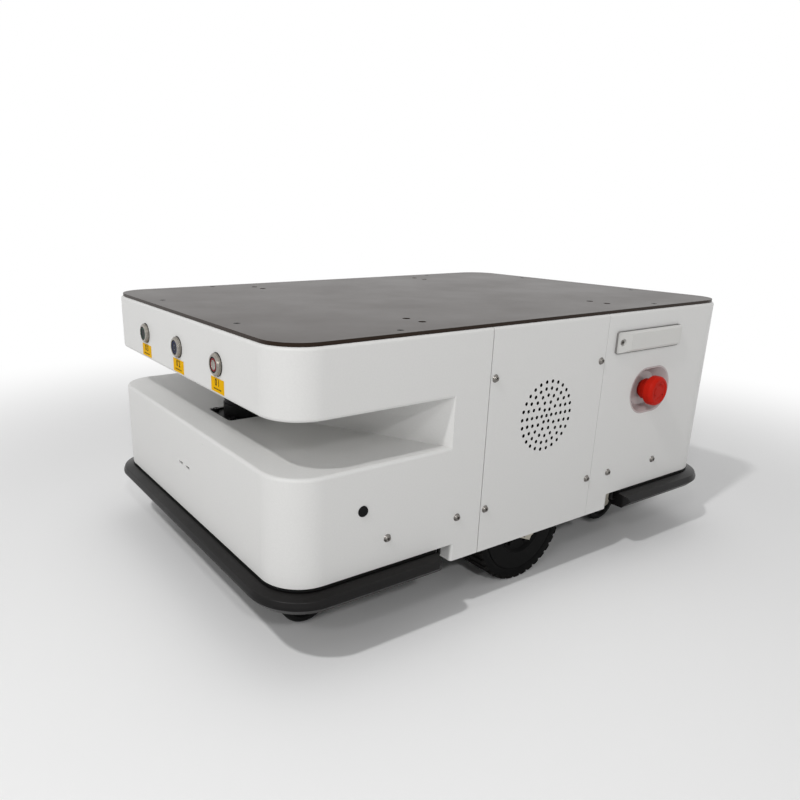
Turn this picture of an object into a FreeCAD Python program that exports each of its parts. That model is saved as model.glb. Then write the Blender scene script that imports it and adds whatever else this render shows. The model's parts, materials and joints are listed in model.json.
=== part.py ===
import FreeCAD, Part
import math
import os
import re
import Sketcher

# Autonomous mobile robot: a low floor vehicle that carries loads on its flat top.
# Frame: +X is forward, +Y is the left side, +Z is up, millimetres.
# The origin is on the floor under the middle of the body.

os.makedirs("parts", exist_ok=True)
document = FreeCAD.newDocument("MobileRobot")
sheet = document.addObject("Spreadsheet::Sheet", "Sizes")
names = []
nodes = []


# ---------------------------------------------------------------- sizes

def size(name, value):
    """Write one driving dimension, in millimetres or degrees, under its own alias."""
    names.append(name)
    row = len(names)
    sheet.set("A%d" % row, name)
    sheet.set("B%d" % row, str(value))
    sheet.setAlias("B%d" % row, name)


def derive(name, text):
    """Write a size that follows from others, so that pieces stay together when one changes."""
    size(name, "=" + text)


# body shell
size("body_length", 730)
size("body_width", 500)
size("body_top", 343)
size("corner_radius", 46)
size("sheet_metal", 2)
size("bend_radius", 3.5)
size("cover_bottom", 95)
size("skirt_bottom", 73)
size("front_seam_gap", 1.2)
size("rear_seam_gap", 0.5)
size("skirt_reach", 43)
size("skirt_return", 19)
size("top_flange", 32)

# drive wheels, which set the wheel wells, the seams and the arms
size("wheel_radius", 75)
size("wheel_width", 55)
size("wheel_inset", 47.5)
size("wheel_well_room", 10)
size("seam_margin", 15)
size("tyre_wall", 15)
size("tyre_shoulder", 2)
size("lug_depth", 2.2)
size("lug_gap", 3.6)
size("lug_rib_half_width", 6)
size("lug_count", 48)
size("rim_side_gap", 0.5)
size("rim_wall", 5)
size("rim_cavity_radius", 52)
size("hub_dish_radius", 36)
size("hub_dish_depth", 4)
size("hub_bolt_circle", 27)
size("hub_bolt_radius", 4)
size("hub_bolt_height", 2.5)
size("axle_radius", 8)
size("axle_nut_height", 6)
size("axle_tip", 3)
size("stator_radius", 48)
size("stator_half_width", 15)
size("stator_offset", 2)
derive("wheel_middle", "body_width / 2 - wheel_inset")
derive("rim_half_width", "wheel_width / 2 - rim_side_gap")
derive("tyre_inner_radius", "wheel_radius - tyre_wall")
derive("wheel_well_half_length", "wheel_radius + wheel_well_room")
derive("seam_position", "wheel_well_half_length + seam_margin")
derive("notch_position", "seam_position + skirt_reach")

# load plate
size("plate_thickness", 4)
size("plate_inset", 3)
size("payload_spacing_x", 320)
size("payload_inner_inset", 77.5)
size("payload_outer_inset", 50)
size("payload_hole_radius", 4.5)
size("end_screw_inset_x", 25)
size("end_screw_inset_y", 139)
size("side_screw_inset_x", 149)
size("side_screw_inset_y", 18)
size("plate_head_radius", 3.7)
size("plate_head_depth", 2)
size("plate_screw_radius", 2)

# chassis
size("base_thickness", 4)
size("well_corner", 6)
size("well_gap", 1)
size("flange_start_gap", 2)
size("flange_end_margin", 13)
size("flange_top_margin", 14.2)
size("frame_metal", 3)
size("frame_bend", 4)
size("frame_inner_bend", 1)
size("rail_inset", 101)
size("rail_flange", 21)
size("panel_arm_half_width", 10)
size("panel_arm_drop", 12)
size("end_bay", 168)
size("bulkhead_gap", 1)
size("bulkhead_flange", 20)
size("lightening_radius", 32)
size("lightening_x", 140)
size("lightening_z", 200)
size("lightening_upper_z", 292)
size("lightening_inset", 59)
size("seat_clearance", 0.1)
derive("base_bottom", "cover_bottom + sheet_metal")
derive("base_top", "base_bottom + base_thickness")
derive("rail_outer", "body_width / 2 - rail_inset")
derive("wheel_well_inner", "rail_outer + well_gap")
derive("bulkhead_face", "body_length / 2 - end_bay")
derive("bulkhead_half_width", "rail_outer - frame_metal - bulkhead_gap")

# cover screws and plugs
size("panel_screw_inset", 7.5)
size("skirt_screw_offset", 37)
size("cover_screw_inset", 128)
size("lower_screw_z", 127.8)
size("upper_screw_z", 285.4)
size("screw_head_radius", 4.75)
size("screw_head_height", 2.7)
size("screw_head_taper", 0.62)
size("screw_radius", 2.5)
size("screw_length", 10)
size("screw_clearance", 0.15)
size("socket_radius", 1.7)
size("socket_depth", 1.6)
size("plug_inset", 95)
size("plug_z", 166.7)
size("plug_radius", 6.15)
size("plug_bevel", 0.6)
size("plug_lip", 1)
size("plug_head", 1.4)
derive("panel_screw_x", "seam_position - panel_screw_inset")
derive("skirt_screw_x", "seam_position + skirt_screw_offset")
derive("cover_screw_x", "body_length / 2 - cover_screw_inset")
derive("plug_x", "body_length / 2 - plug_inset")

# scanner
size("scanner_inset", 89)
size("scanner_radius", 30)
size("scanner_base_top", 227)
size("scanner_window_top", 250)
size("scanner_top", 263)
size("scanner_cap_bevel", 2)
size("window_wall", 2.5)
size("window_inset", 1)
size("rotor_radius", 21)
size("rotor_gap", 1.2)
size("rotor_lens_radius", 5)
size("rotor_lens_offset", 8)
size("rotor_lens_depth", 3)
size("spindle_radius", 3)
size("spindle_drop", 8)
size("running_clearance", 0.05)
size("mount_depth", 5.5)
size("mount_thickness", 4)
size("mount_foot_height", 37)
size("mount_side_gap", 0.5)
derive("scanner_x", "body_length / 2 - scanner_inset")

# scanner slot in the nose
size("slot_floor", 214.5)
size("slot_ceiling", 270.9)
size("slot_side_inset", 214.4)
size("slot_throat_inset", 101)
size("slot_bend", 4)
size("pit_side_room", 2)
size("pit_front_room", 10)
size("pit_corner", 5)
derive("slot_side_x", "body_length / 2 - slot_side_inset")
derive("slot_throat_x", "body_length / 2 - slot_throat_inset")
derive("pit_half_width", "scanner_radius + pit_side_room")
derive("pit_front", "scanner_x + scanner_radius + pit_front_room")
derive("mount_top", "slot_floor - mount_depth")

# front details
size("button_pitch", 112)
size("button_z", 305.5)
size("bezel_radius", 12.5)
size("bezel_height", 4.7)
size("bezel_edge", 1.7)
size("barrel_radius", 10.9)
size("barrel_length", 28)
size("cap_radius", 8.75)
size("cap_clearance", 0.1)
size("cap_length", 18)
size("cap_recess", 0.5)
size("cap_edge", 0.7)
size("cap_room", 3)
size("label_width", 32)
size("label_height", 15.6)
size("label_thickness", 0.5)
size("label_bottom", 274.8)
size("vent_length", 12)
size("vent_height", 3)
size("vent_offset", 10.7)
size("vent_z", 156.4)
size("pin_hole_y", 61)
size("pin_hole_z", 201)
size("pin_hole_radius", 1)

# speaker
size("speaker_z", 228.4)
size("grille_step", 8.45)
size("grille_hole_radius", 2.3)
size("speaker_radius", 48)
size("speaker_rim", 4)
size("speaker_cone_radius", 42)
size("speaker_cone_depth", 20)
size("magnet_radius", 20)
size("magnet_depth", 16)
size("dust_cap_radius", 14)

# stop button
size("stop_inset", 159)
size("stop_z", 234)
size("bowl_length", 86)
size("bowl_height", 63.5)
size("bowl_floor_length", 57)
size("bowl_floor_height", 50)
size("bowl_depth", 12)
size("bowl_wall", 2)
size("bowl_flange", 5)
size("stop_neck_radius", 11)
size("stop_neck_length", 9)
size("stop_neck_clearance", 1.3)
size("stop_block_side", 30)
size("stop_block_depth", 32)
size("stop_block_corner", 3)
size("stop_block_back", 4)
size("stop_stem_radius", 4)
size("stop_stem_tail", 14)
size("stop_stem_cover", 4)
size("stop_head_radius", 20)
size("stop_head_under", 2)
size("stop_head_front", 15)
size("stop_head_edge", 5)
size("stop_under_edge", 2)
size("stop_dish_radius", 13.5)
size("stop_dish_depth", 0.8)
size("stop_skirt_radius", 14)
size("stop_skirt_length", 9.5)
derive("stop_x", "-(body_length / 2 - stop_inset)")
derive("stop_skirt_bore", "stop_neck_radius + stop_neck_clearance")

# antenna cover on the tail
size("antenna_inset", 114)
size("antenna_length", 133)
size("antenna_bottom", 292)
size("antenna_top", 319.2)
size("antenna_height", 6)
size("antenna_lip", 1)
size("antenna_slope", 25)
size("antenna_bevel", 3.3)
size("antenna_screw_inset", 11)
size("antenna_counterbore", 4.6)
size("antenna_head_radius", 3.2)
derive("antenna_rear_x", "-(body_length / 2 - antenna_inset)")
derive("antenna_front_x", "antenna_rear_x + antenna_length")
derive("antenna_screw_x", "antenna_front_x - antenna_screw_inset")

# charging contacts on the tail
size("charge_z", 150)
size("charge_half_width", 36)
size("charge_half_height", 15)
size("charge_lip", 1.5)
size("charge_step", 1)
size("charge_depth", 18)
size("contact_half_height", 5)
size("contact_length", 22)
size("contact_offset", 15)

# bumpers: heights are measured down from their top
size("bumper_top_gap", 4.2)
size("bumper_height", 19.8)
size("bumper_reach", 15.2)
size("bumper_ridge", 13)
size("bumper_ridge_drop", 3.3)
size("bumper_face_top", 8.8)
size("bumper_face_bottom", 11.8)
size("bumper_foot", 8)
size("bumper_root", 14)
size("bumper_root_rise", 5)
size("bumper_end_round", 9)
size("bumper_front_offset", 22)
size("bumper_rear_offset", 25)
size("rail_lip_gap", 1.4)
size("rail_lip_metal", 1.5)
size("rail_lip_reach", 0.3)
size("rail_rib_gap", 2)
size("rail_root", 24)
size("rail_rib", 12)
size("lead_radius", 2.2)
size("lead_inset", 5)
size("lead_drop", 9)
size("lead_room", 8)
derive("bumper_top", "cover_bottom - bumper_top_gap")
derive("bumper_bottom", "bumper_top - bumper_height")
derive("bumper_front_end", "notch_position + bumper_front_offset")
derive("bumper_rear_end", "notch_position + bumper_rear_offset")
derive("rail_lip_bottom", "bumper_top + rail_lip_gap")
derive("rail_lip_top", "rail_lip_bottom + rail_lip_metal")

# drive arm and its suspension
size("pivot_offset", 30)
size("pivot_radius", 6)
size("pivot_hub_radius", 14)
size("pivot_hub_length", 16)
size("pivot_head", 3)
size("arm_metal", 6)
size("arm_hub_width", 12)
size("arm_end_half", 20)
size("arm_corner", 10)
size("strap_gap", 2)
size("strap_metal", 4)
size("strap_tilt", 23)
size("strap_half_width", 17)
size("strap_drop", 15)
size("bridge_half_length", 22)
size("bridge_rise", 22)
size("bridge_gap", 10)
size("bridge_rear_drop", 5)
size("bridge_boss", 3)
size("swivel_gap", 0.3)
size("spring_x", -40)
size("spring_inset", 50)
size("spring_length", 78)
size("spring_radius", 14)
size("spring_wire_radius", 2.2)
size("spring_turns", 5)
size("spring_seat_radius", 19)
size("spring_seat_drop", 20)
size("spring_boss", 6)
size("bracket_metal", 4)
size("bracket_rise", 40)
size("bracket_drop", 38)
size("bracket_half", 24)
size("bracket_corner", 6)
derive("pivot_x", "-(wheel_radius + pivot_offset)")
derive("pivot_z", "2 * wheel_radius")
derive("arm_inner", "rail_outer + pivot_hub_length")
derive("strap_inner", "wheel_middle + wheel_width / 2 + strap_gap")
derive("bridge_front_x", "spring_x + bridge_half_length")
derive("bridge_rear_x", "spring_x - bridge_half_length")
derive("bridge_top", "2 * wheel_radius + bridge_rise")
derive("bridge_front_bottom", "2 * wheel_radius + bridge_gap")
derive("bridge_rear_bottom", "2 * wheel_radius - bridge_rear_drop")
derive("spring_y", "body_width / 2 - spring_inset")
derive("spring_seat_z", "bridge_top + spring_length")
derive("spring_boss_radius", "spring_radius - spring_wire_radius - 1")
derive("bracket_top", "spring_seat_z + bracket_rise")
derive("bracket_bottom", "pivot_z - bracket_drop")

# casters
size("caster_end_inset", 95)
size("caster_side_inset", 90)
size("caster_trail", 20)
size("caster_radius", 32.5)
size("caster_width", 22)
size("caster_tread_round", 4)
size("caster_side_recess", 3)
size("caster_rim", 9)
size("caster_plate_half", 31)
size("caster_plate_corner", 6)
size("caster_plate_metal", 3.5)
size("raceway_radius", 24)
size("raceway_height", 9.7)
size("kingpin_radius", 5)
size("kingpin_clearance", 0.08)
size("kingpin_nut_radius", 8)
size("kingpin_nut_height", 4.5)
size("crown_height", 4.5)
size("crown_radius", 22)
size("fork_inner", 13)
size("fork_metal", 3)
size("fork_end_radius", 9)
size("fork_corner", 8)
size("caster_axle_radius", 4)
size("caster_axle_end", 1)
size("caster_hub_radius", 15)
size("caster_hub_step", 5)
size("caster_hub_width", 25.2)
derive("caster_x", "body_length / 2 - caster_end_inset")
derive("caster_y", "body_width / 2 - caster_side_inset")
derive("raceway_bottom", "base_bottom - caster_plate_metal - raceway_height")

# inner units
size("battery_front", 110)
size("battery_rear", -130)
size("unit_side_gap", 54)
size("battery_height", 90)
size("battery_edge", 6)
size("battery_plug_height", 14)
size("battery_plug_side", 40)
size("controller_inset", 47)
size("controller_length", 96)
size("controller_side_gap", 79)
size("computer_inset", 35)
size("computer_length", 115)
size("unit_height", 30)
size("unit_corner", 4)
size("fin_height", 12)
size("fin_metal", 3)
size("fin_count", 9)
size("fin_edge", 6)
derive("battery_half_width", "rail_outer - unit_side_gap")
derive("controller_front", "body_length / 2 - controller_inset")
derive("controller_rear", "controller_front - controller_length")
derive("controller_half_width", "rail_outer - controller_side_gap")
derive("computer_rear", "-(body_length / 2 - computer_inset)")
derive("computer_front", "computer_rear + computer_length")
derive("computer_half_width", "rail_outer - unit_side_gap")

document.recompute()


# ---------------------------------------------------------------- helpers

def formula(text):
    """Point every size named in the text at its cell."""
    return re.sub(r"[a-z_]+", lambda word: word.group() if word.group() not in names
                  else "Sizes." + word.group(), text)


def number(text):
    """Work out a formula's value now, for a sketch's starting shape."""
    result = sheet.evalExpression(formula(text))
    return float(getattr(result, "Value", result))


def bind(thing, **formulas):
    """Bind properties to formulas over the sheet."""
    for name, text in formulas.items():
        thing.setExpression(name, formula(text))


def place(thing, x="0", y="0", z="0"):
    """Bind the place of a sub-part."""
    thing.setExpression("Placement.Base.x", formula(x))
    thing.setExpression("Placement.Base.y", formula(y))
    thing.setExpression("Placement.Base.z", formula(z))


def keep(thing, label):
    """Name a sub-part and list it for writing."""
    thing.Label = label
    nodes.append(thing)
    return thing


def new_body(label):
    return document.addObject("PartDesign::Body", label)


def origin(body, role):
    return next(item for item in body.Origin.OriginFeatures if item.Role == role)


def sketch_on(body, role, offset, drawings):
    """Draw on one of the body's origin planes, moved along its normal."""
    sketch = body.newObject("Sketcher::SketchObject", body.Name + "_sketch")
    sketch.AttachmentSupport = [(origin(body, role), "")]
    sketch.MapMode = "FlatFace"
    sketch.setExpression(".AttachmentOffset.Base.z", formula(offset))
    for drawing in drawings:
        drawing(sketch)
    return sketch


def pin_point(sketch, item, end, x, y):
    """Hold a point of a drawn item at two formulas."""
    for kind, text in (("DistanceX", x), ("DistanceY", y)):
        index = sketch.addConstraint(Sketcher.Constraint(kind, -1, 1, item, end, number(text)))
        sketch.setExpression("Constraints[%d]" % index, formula(text))


def pin_radius(sketch, item, text):
    index = sketch.addConstraint(Sketcher.Constraint("Radius", item, number(text)))
    sketch.setExpression("Constraints[%d]" % index, formula(text))


def disc(x, y, radius):
    """A circle at a centre."""
    def draw(sketch):
        centre = FreeCAD.Vector(number(x), number(y), 0)
        circle = Part.Circle(centre, FreeCAD.Vector(0, 0, 1), number(radius))
        item = sketch.addGeometry(circle, False)
        pin_point(sketch, item, 3, x, y)
        pin_radius(sketch, item, radius)
    return draw


def outline(*corners):
    """A closed outline of straight sides, whose corners may have a third value, their radius."""
    def draw(sketch):
        count = len(corners)
        points = [FreeCAD.Vector(number(corner[0]), number(corner[1]), 0) for corner in corners]
        starts = []
        ends = []
        arcs = []
        for index, point in enumerate(points):
            before = (points[index - 1] - point).normalize()
            after = (points[(index + 1) % count] - point).normalize()
            if len(corners[index]) == 2:
                ends.append(point)
                starts.append(point)
                arcs.append(None)
                continue
            radius = number(corners[index][2])
            half = before.getAngle(after) / 2
            ends.append(point + before * (radius / math.tan(half)))
            starts.append(point + after * (radius / math.tan(half)))
            middle = (before + after).normalize()
            centre = point + middle * (radius / math.sin(half))
            arcs.append(Part.Arc(ends[-1], centre - middle * radius, starts[-1]))
        sides = []
        for index in range(count):
            side = Part.LineSegment(starts[index], ends[(index + 1) % count])
            sides.append(sketch.addGeometry(side, False))
        for index in range(count):
            coming = sides[index - 1]
            going = sides[index]
            if arcs[index] is None:
                sketch.addConstraint(Sketcher.Constraint("Coincident", coming, 2, going, 1))
                pin_point(sketch, going, 1, corners[index][0], corners[index][1])
                continue
            arc = sketch.addGeometry(arcs[index], False)
            first = sketch.getPoint(arc, 1).distanceToPoint(ends[index])
            last = sketch.getPoint(arc, 2).distanceToPoint(ends[index])
            near_end = 1 if first < last else 2
            sketch.addConstraint(Sketcher.Constraint("Tangent", coming, 2, arc, near_end))
            sketch.addConstraint(Sketcher.Constraint("Tangent", going, 1, arc, 3 - near_end))
            pin_radius(sketch, arc, corners[index][2])
            tip = sketch.addGeometry(Part.Point(points[index]), True)
            pin_point(sketch, tip, 1, corners[index][0], corners[index][1])
            sketch.addConstraint(Sketcher.Constraint("PointOnObject", tip, 1, coming))
            sketch.addConstraint(Sketcher.Constraint("PointOnObject", tip, 1, going))
    return draw


def rectangle(left, right, bottom, top):
    return outline((left, bottom), (right, bottom), (right, top), (left, top))


def obround(x, y, length, height):
    """A slot shape: two half circles joined by straight sides."""
    def draw(sketch):
        reach = "((%s) - (%s)) / 2" % (length, height)
        radius = "(%s) / 2" % height
        middle = FreeCAD.Vector(number(x), number(y), 0)
        shift = FreeCAD.Vector(number(reach), 0, 0)
        rise = FreeCAD.Vector(0, number(radius), 0)
        up = FreeCAD.Vector(0, 0, 1)
        right = Part.ArcOfCircle(Part.Circle(middle + shift, up, rise.y), -math.pi / 2, math.pi / 2)
        left = Part.ArcOfCircle(Part.Circle(middle - shift, up, rise.y), math.pi / 2, -math.pi / 2)
        top = Part.LineSegment(middle + shift + rise, middle - shift + rise)
        bottom = Part.LineSegment(middle - shift - rise, middle + shift - rise)
        items = [sketch.addGeometry(item, False) for item in (right, top, left, bottom)]
        for index in range(4):
            joint = Sketcher.Constraint("Tangent", items[index], 2, items[(index + 1) % 4], 1)
            sketch.addConstraint(joint)
        pin_point(sketch, items[0], 3, "%s + %s" % (x, reach), y)
        pin_point(sketch, items[2], 3, "%s - %s" % (x, reach), y)
        pin_radius(sketch, items[0], radius)
        pin_radius(sketch, items[2], radius)
    return draw


def extrude(body, kind, role, low, high, drawings):
    """Add or take away a prism between two places along the plane's own axis."""
    backwards = role == "XZ_Plane"
    offset = "-(%s)" % low if backwards else low
    sketch = sketch_on(body, role, offset, drawings)
    feature = body.newObject("PartDesign::" + kind, body.Name + "_" + kind.lower())
    feature.Profile = sketch
    feature.Reversed = backwards if kind == "Pad" else not backwards
    bind(feature, Length="(%s) - (%s)" % (high, low))
    return feature


def pad(body, role, low, high, *drawings):
    """Add a prism whose plane is role, from low to high."""
    feature = extrude(body, "Pad", role, low, high, drawings)
    document.recompute()
    return feature


def cut(body, role, low, high, *drawings):
    """Take a prism away, and make sure that it took something."""
    before = body.Shape.Volume
    feature = extrude(body, "Pocket", role, low, high, drawings)
    document.recompute()
    if body.Shape.Volume >= before:
        raise RuntimeError("a pocket of %s cut nothing" % body.Label)
    return feature


def turn(body, role, axis, *drawings):
    """Revolve a profile a full turn about one of the body's axes."""
    sketch = sketch_on(body, role, "0", drawings)
    feature = body.newObject("PartDesign::Revolution", body.Name + "_turned")
    feature.Profile = sketch
    feature.ReferenceAxis = (origin(body, axis), [""])
    feature.Angle = 360
    document.recompute()
    return feature


def ring_of(body, features, axis, count):
    """Repeat features evenly round one of the body's axes."""
    pattern = body.newObject("PartDesign::PolarPattern", body.Name + "_ring")
    pattern.Originals = features
    pattern.Axis = (origin(body, axis), [""])
    pattern.Angle = 360
    pattern.Occurrences = count
    body.Tip = pattern
    document.recompute()
    return pattern


def edges_of(feature, test):
    """Names of a feature's edges whose box passes a test."""
    found = enumerate(feature.Shape.Edges, 1)
    return ["Edge%d" % index for index, edge in found if test(edge.BoundBox)]


def round_edges(body, radius, test):
    base = body.Tip
    fillet = body.newObject("PartDesign::Fillet", body.Name + "_fillet")
    fillet.Base = (base, edges_of(base, test))
    bind(fillet, Radius=radius)
    document.recompute()
    return fillet


def bevel_edges(body, length, test):
    base = body.Tip
    chamfer = body.newObject("PartDesign::Chamfer", body.Name + "_chamfer")
    chamfer.Base = (base, edges_of(base, test))
    bind(chamfer, Size=length)
    document.recompute()
    return chamfer


def same(first, second):
    return abs(first - second) < 0.001


def across(side, near, far):
    """Low and high Y places of a stretch on the left (1) or right (-1) side."""
    if side > 0:
        return near, far
    return "-(%s)" % far, "-(%s)" % near


def group(label, parts):
    """Several separate solids that share one node."""
    compound = document.addObject("Part::Compound", label)
    compound.Links = parts
    return keep(compound, label)


def side_name(side):
    return "left" if side > 0 else "right"


def mirrored(sign, text):
    return "%d * (%s)" % (sign, text)


def seam_edge(end):
    """Where an end cover starts, half a gap from the seam."""
    gap = "front_seam_gap" if end > 0 else "rear_seam_gap"
    return mirrored(end, "seam_position + %s / 2" % gap)


both = (1, -1)


# ---------------------------------------------------------------- covers

def add_skirt(body, end, side):
    """The tab beside the seam: it hangs lower than the cover and turns inwards at its end."""
    seam = seam_edge(end)
    tip = mirrored(end, "notch_position")
    turned = mirrored(end, "notch_position - sheet_metal")
    outer = mirrored(side, "body_width / 2")
    inner = mirrored(side, "body_width / 2 - sheet_metal")
    back = mirrored(side, "body_width / 2 - skirt_return")
    corners = ((seam, outer), (tip, outer, "bend_radius"), (tip, back), (turned, back),
               (turned, inner, "bend_radius - sheet_metal"), (seam, inner))
    pad(body, "XY_Plane", "skirt_bottom", "cover_bottom", outline(*corners))


def cover_block(body, end):
    """The outer form of an end cover, with its bent top edge."""
    seam = seam_edge(end)
    tip = mirrored(end, "body_length / 2")
    pad(body, "XY_Plane", "cover_bottom", "body_top",
        outline((seam, "-body_width / 2"), (tip, "-body_width / 2", "corner_radius"),
                (tip, "body_width / 2", "corner_radius"), (seam, "body_width / 2")))
    top = number("body_top")
    seam_x = number(seam)
    round_edges(body, "bend_radius",
                lambda box: same(box.ZMin, top) and not (same(box.XMin, seam_x) and
                                                         same(box.XMax, seam_x)))


def hollow(body, end, low, high, inset):
    """Empty a cover between two heights, leaving its wall."""
    start = mirrored(end, "seam_position - 1")
    tip = mirrored(end, "body_length / 2 - (%s)" % inset)
    side = "body_width / 2 - (%s)" % inset
    radius = "corner_radius - (%s)" % inset
    cut(body, "XY_Plane", low, high,
        outline((start, "-(%s)" % side), (tip, "-(%s)" % side, radius),
                (tip, side, radius), (start, side)))


def cover_holes(body, end):
    """Clearance holes for the side screws, and in the top flange for the load plate's screws."""
    radius = "screw_radius + screw_clearance"
    spots = plate_screw_spots(end, 1) + plate_screw_spots(end, -1)
    cut(body, "XY_Plane", "body_top - 2 * sheet_metal", "body_top + 1",
        *[disc(x, y, "plate_screw_radius + screw_clearance") for x, y in spots])
    cut(body, "XZ_Plane", "-body_width", "body_width",
        disc(mirrored(end, "skirt_screw_x"), "lower_screw_z", radius),
        disc(mirrored(end, "cover_screw_x"), "lower_screw_z", radius))


def make_nose_cover():
    """Folded front cover. A slot for the scanner is open to the front and to both sides."""
    body = new_body("nose_cover")
    cover_block(body, 1)
    hollow(body, 1, "cover_bottom", "slot_floor - sheet_metal", "sheet_metal")
    hollow(body, 1, "slot_ceiling + sheet_metal", "body_top - sheet_metal", "sheet_metal")
    hollow(body, 1, "body_top - sheet_metal", "body_top", "top_flange")
    slope = "(slot_throat_x - slot_side_x) / (body_width / 2 - pit_half_width)"
    wall = "sheet_metal * sqrt(1 + (%s) ^ 2)" % slope
    side_y = "body_width / 2 - sheet_metal"
    side_x = "slot_side_x + (%s) * sheet_metal - %s" % (slope, wall)
    throat_x = "slot_throat_x - %s" % wall
    cut(body, "XY_Plane", "slot_floor - sheet_metal", "slot_ceiling + sheet_metal",
        outline(("seam_position - 1", "-(%s)" % side_y), (side_x, "-(%s)" % side_y),
                (throat_x, "-pit_half_width"), (throat_x, "pit_half_width"),
                (side_x, side_y), ("seam_position - 1", side_y)))
    past = "body_width / 2 + 1"
    past_x = "slot_side_x - (%s)" % slope
    ahead = "body_length / 2 + 1"
    cut(body, "XY_Plane", "slot_floor", "slot_ceiling",
        outline((past_x, "-(%s)" % past), (ahead, "-(%s)" % past), (ahead, past), (past_x, past),
                ("slot_throat_x", "pit_half_width"), ("slot_throat_x", "-pit_half_width")))
    cut(body, "XY_Plane", "slot_floor - sheet_metal - 1", "slot_ceiling",
        outline(("bulkhead_face", "-pit_half_width"), ("pit_front", "-pit_half_width", "pit_corner"),
                ("pit_front", "pit_half_width", "pit_corner"), ("bulkhead_face", "pit_half_width")))
    round_slot_edges(body)
    cut(body, "YZ_Plane", "body_length / 2 - 3 * sheet_metal", "body_length / 2 + 1",
        disc("-button_pitch", "button_z", "barrel_radius + seat_clearance"),
        disc("0", "button_z", "barrel_radius + seat_clearance"),
        disc("button_pitch", "button_z", "barrel_radius + seat_clearance"),
        obround("-vent_offset", "vent_z", "vent_length", "vent_height"),
        obround("vent_offset", "vent_z", "vent_length", "vent_height"),
        disc("pin_hole_y", "pin_hole_z", "pin_hole_radius"))
    cover_holes(body, 1)
    cut(body, "XZ_Plane", "-body_width", "body_width",
        disc("plug_x", "plug_z", "plug_radius - plug_lip"))
    for side in both:
        add_skirt(body, 1, side)
    keep(body, "nose_cover")


def round_slot_edges(body):
    """Bend the sheet round the slot's floor, ceiling and wall edges."""
    floor = number("slot_floor")
    ceiling = number("slot_ceiling")
    pit = number("pit_front")
    shoulder = number("body_width / 2 - corner_radius") - 1

    def outer_edge(box):
        level = same(box.ZMin, box.ZMax) and (same(box.ZMin, floor) or same(box.ZMin, ceiling))
        rim = box.XMin > pit + 1 or min(abs(box.YMin), abs(box.YMax)) > shoulder
        straight = same(box.YMin, box.YMax) and same(abs(box.YMin), number("body_width / 2"))
        corner = box.XMax > number("body_length / 2") - 0.01 and box.XMin > pit
        return level and rim and (straight or corner)

    round_edges(body, "slot_bend", outer_edge)


def make_tail_cover():
    """Folded rear cover, with the stop button's opening on the left and the charging opening."""
    body = new_body("tail_cover")
    cover_block(body, -1)
    hollow(body, -1, "cover_bottom", "body_top - sheet_metal", "sheet_metal")
    hollow(body, -1, "body_top - sheet_metal", "body_top", "top_flange")
    cover_holes(body, -1)
    cut(body, "XZ_Plane", "body_width / 2 - 3 * sheet_metal", "body_width / 2 + 1",
        obround("stop_x", "stop_z", "bowl_length + 2 * seat_clearance",
                "bowl_height + 2 * seat_clearance"),
        disc("antenna_screw_x", "(antenna_bottom + antenna_top) / 2", "screw_radius"))
    inset = "charge_lip + charge_step"
    cut(body, "YZ_Plane", "-body_length / 2 - 1", "-body_length / 2 + 3 * sheet_metal",
        rectangle("-charge_half_width + " + inset, "charge_half_width - (%s)" % inset,
                  "charge_z - charge_half_height + " + inset,
                  "charge_z + charge_half_height - (%s)" % inset))
    for side in both:
        add_skirt(body, -1, side)
    keep(body, "tail_cover")


def grille():
    """Holes of the speaker grille: rings about a centre hole, each starting on the level line."""
    holes = [disc("0", "speaker_z", "grille_hole_radius")]
    for ring, count in enumerate((6, 10, 16, 22, 26), 1):
        for step in range(count):
            angle = "360 * %d / %d" % (step, count)
            x = "%d * grille_step * cos(%s)" % (ring, angle)
            z = "speaker_z + %d * grille_step * sin(%s)" % (ring, angle)
            holes.append(disc(x, z, "grille_hole_radius"))
    return holes


def make_side_panel(side):
    """Middle panel: a flat sheet bent over at its top, held by four screws."""
    label = "side_panel_" + side_name(side)
    body = new_body(label)
    outer = mirrored(side, "body_width / 2")
    inner = mirrored(side, "body_width / 2 - sheet_metal")
    back = mirrored(side, "body_width / 2 - top_flange")
    front = "seam_position - front_seam_gap / 2"
    rear = "-(seam_position - rear_seam_gap / 2)"
    pad(body, "YZ_Plane", rear, front,
        outline((outer, "skirt_bottom"), (outer, "body_top", "bend_radius"), (back, "body_top"),
                (back, "body_top - sheet_metal"),
                (inner, "body_top - sheet_metal", "bend_radius - sheet_metal"),
                (inner, "skirt_bottom")))
    low, high = across(side, "body_width / 2 - 3 * sheet_metal", "body_width / 2 + 1")
    holes = []
    for end in both:
        for height in ("lower_screw_z", "upper_screw_z"):
            holes.append(disc(mirrored(end, "panel_screw_x"), height, "screw_radius + screw_clearance"))
    if side > 0:
        holes.extend(grille())
    cut(body, "XZ_Plane", low, high, *holes)
    keep(body, label)


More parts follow.
